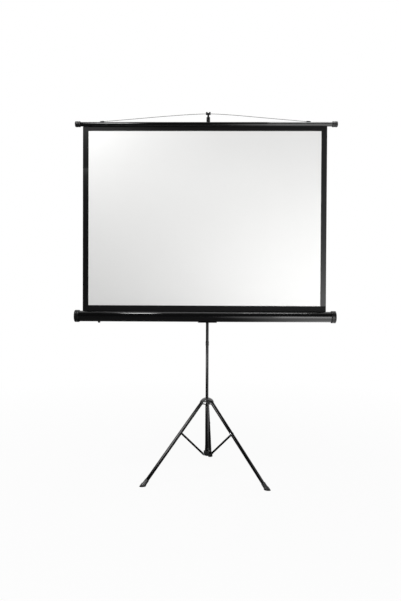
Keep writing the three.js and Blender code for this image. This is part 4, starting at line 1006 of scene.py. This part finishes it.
def studio_floor():
    """A pale painted floor that fades into the backdrop and keeps a soft shadow."""
    finish, tree, shader = new_finish("studio_floor")
    seen, mirrored = backdrop_rays(tree)
    place = put(tree, "ShaderNodeTexCoord", {}).outputs["Object"]
    out = put(tree, "ShaderNodeVectorMath", {"Vector": place}, operation="LENGTH")
    fade = put(tree, "ShaderNodeMapRange", {
        "Value": out.outputs["Value"], "From Min": FLOOR_FADE[0], "From Max": FLOOR_FADE[1],
        "To Min": FLOOR_GLOW, "To Max": 1.0,
    }).outputs["Result"]
    shown = put(tree, "ShaderNodeMath", {0: seen, 1: fade}, operation="MULTIPLY").outputs[0]
    share = put(tree, "ShaderNodeMath", {0: shown, 1: mirrored}, operation="MAXIMUM").outputs[0]
    # In gloss the floor shows only a painted glow, dim at the left and bright to the right, which
    # stands in for a floor lit by a lamp
    lit = put(tree, "ShaderNodeMapRange", {
        "Value": put(tree, "ShaderNodeSeparateXYZ", {"Vector": place}).outputs["X"],
        "From Min": FLOOR_PAINTED_GLOW_FROM[0], "From Max": FLOOR_PAINTED_GLOW_FROM[1],
        "To Min": FLOOR_PAINTED_GLOW[0], "To Max": FLOOR_PAINTED_GLOW[1],
    }, interpolation_type="SMOOTHSTEP").outputs["Result"]
    power = put(
        tree, "ShaderNodeMix", {"Factor": mirrored, "A": 1.0, "B": lit}, data_type="FLOAT",
    ).outputs["Result"]
    glow = put(tree, "ShaderNodeEmission", {"Color": (1, 1, 1, 1), "Strength": power})
    both = put(
        tree, "ShaderNodeMixShader",
        {"Fac": share, 1: shader.outputs["BSDF"], 2: glow.outputs["Emission"]},
    )
    wire(tree, tree.nodes["Material Output"], {"Surface": both.outputs["Shader"]})
    wire(tree, shader, {
        "Base Color": linear("#f0f0f0"), "Roughness": 0.9, "Specular IOR Level": 0.1,
    })
    return finish


bpy.ops.mesh.primitive_circle_add(
    vertices=96, radius=FLOOR_RADIUS, fill_type="NGON", location=(0, 0, 0),
)
floor = bpy.context.active_object
floor.name = "floor"
floor.data.materials.append(studio_floor())

world = bpy.data.worlds.new("studio")
world.use_nodes = True
bpy.context.scene.world = world
sky = world.node_tree
seen, mirrored = backdrop_rays(sky)
toward = put(
    sky, "ShaderNodeSeparateXYZ",
    {"Vector": put(sky, "ShaderNodeTexCoord", {}).outputs["Generated"]},
)
# What gloss shows: white behind the object, and in front of it the unlit room, the ceiling and
# the lit lower right, whichever is brightest
behind = put(sky, "ShaderNodeMapRange", {
    "Value": toward.outputs["Y"], "From Min": BACKDROP_EDGE[0], "From Max": BACKDROP_EDGE[1],
}, interpolation_type="SMOOTHSTEP").outputs["Result"]
in_gloss = put(
    sky, "ShaderNodeMapRange", {"Value": behind, "To Min": ROOM_FRONT, "To Max": 1.0},
).outputs["Result"]
overhead = put(sky, "ShaderNodeMapRange", {
    "Value": toward.outputs["Z"], "From Min": CEILING_EDGE[0], "From Max": CEILING_EDGE[1],
}, interpolation_type="SMOOTHSTEP").outputs["Result"]
ceiling = put(sky, "ShaderNodeMapRange", {
    "Value": toward.outputs["X"], "From Min": CEILING_SIDES[0], "From Max": CEILING_SIDES[1],
    "To Min": CEILING[0], "To Max": CEILING[1],
}).outputs["Result"]
rightward = put(sky, "ShaderNodeMapRange", {
    "Value": toward.outputs["X"], "From Min": RIGHT_EDGE[0], "From Max": RIGHT_EDGE[1],
    "To Min": 0.0, "To Max": ROOM_RIGHT,
}, interpolation_type="SMOOTHSTEP").outputs["Result"]
low_down = put(sky, "ShaderNodeMapRange", {
    "Value": toward.outputs["Z"], "From Min": LOW_EDGE[0], "From Max": LOW_EDGE[1],
}).outputs["Result"]
for lit, where in ((ceiling, overhead), (rightward, low_down)):
    lit = put(sky, "ShaderNodeMath", {0: lit, 1: where}, operation="MULTIPLY").outputs[0]
    in_gloss = put(sky, "ShaderNodeMath", {0: in_gloss, 1: lit}, operation="MAXIMUM").outputs[0]
room = put(
    sky, "ShaderNodeMix", {"Factor": mirrored, "A": ROOM_LEVEL, "B": in_gloss}, data_type="FLOAT",
).outputs["Result"]
room = put(sky, "ShaderNodeMath", {0: room, 1: seen}, operation="MAXIMUM").outputs[0]
wire(sky, sky.nodes["Background"], {"Strength": room, "Color": (1, 1, 1, 1)})


def softbox(name, place, target, width, height, power, lights=True, shines=True):
    """A rectangular lamp at its place, facing its target, that lights what it falls on, shines
    in gloss, or both."""
    light = bpy.data.lights.new(name, "AREA")
    light.shape = "RECTANGLE"
    light.size = width
    light.size_y = height
    light.energy = power
    lamp = bpy.data.objects.new(name, light)
    bpy.context.scene.collection.objects.link(lamp)
    lamp.visible_camera = False
    lamp.visible_diffuse = lights
    lamp.visible_glossy = shines
    aim = Vector(target) - Vector(place)
    facing = aim.to_track_quat("-Z", "Y").to_matrix().to_4x4()
    lamp.matrix_world = Matrix.Translation(place) @ facing


# Two that light the cloth, and then four that only shine: in the tubes on the right, along the
# left and the right of the case, and in the hub
softbox("upper_left_softbox", (-1.02, -0.95, 2.94), (-1.13, -0.2, 0.6), 0.5, 0.5, 14)
softbox("lower_right_softbox", (1.1, -1.5, 1), (1.08, -0.2, 2.9), 2, 1.5, 23.6, shines=False)
softbox("right_card", (1.75, -1.5, 0.9), (1.4, -0.2, 1.3), 1.6, 0.9, 14, lights=False)
softbox("case_strip", (-0.25, -0.29, 2), (-0.25, -0.5, 1.05), 1.4, 0.12, 1.6, lights=False)
softbox("case_strip_right", (0.85, -0.29, 2.5), (0.85, -0.4, 1.05), 0.8, 0.12, 4, lights=False)
softbox("hub_card", (-0.5, -0.7, 0.62), (-0.3, -0.45, 0.02), 0.6, 0.6, 14, lights=False)
bpy.context.scene.view_settings.view_transform = "Standard"
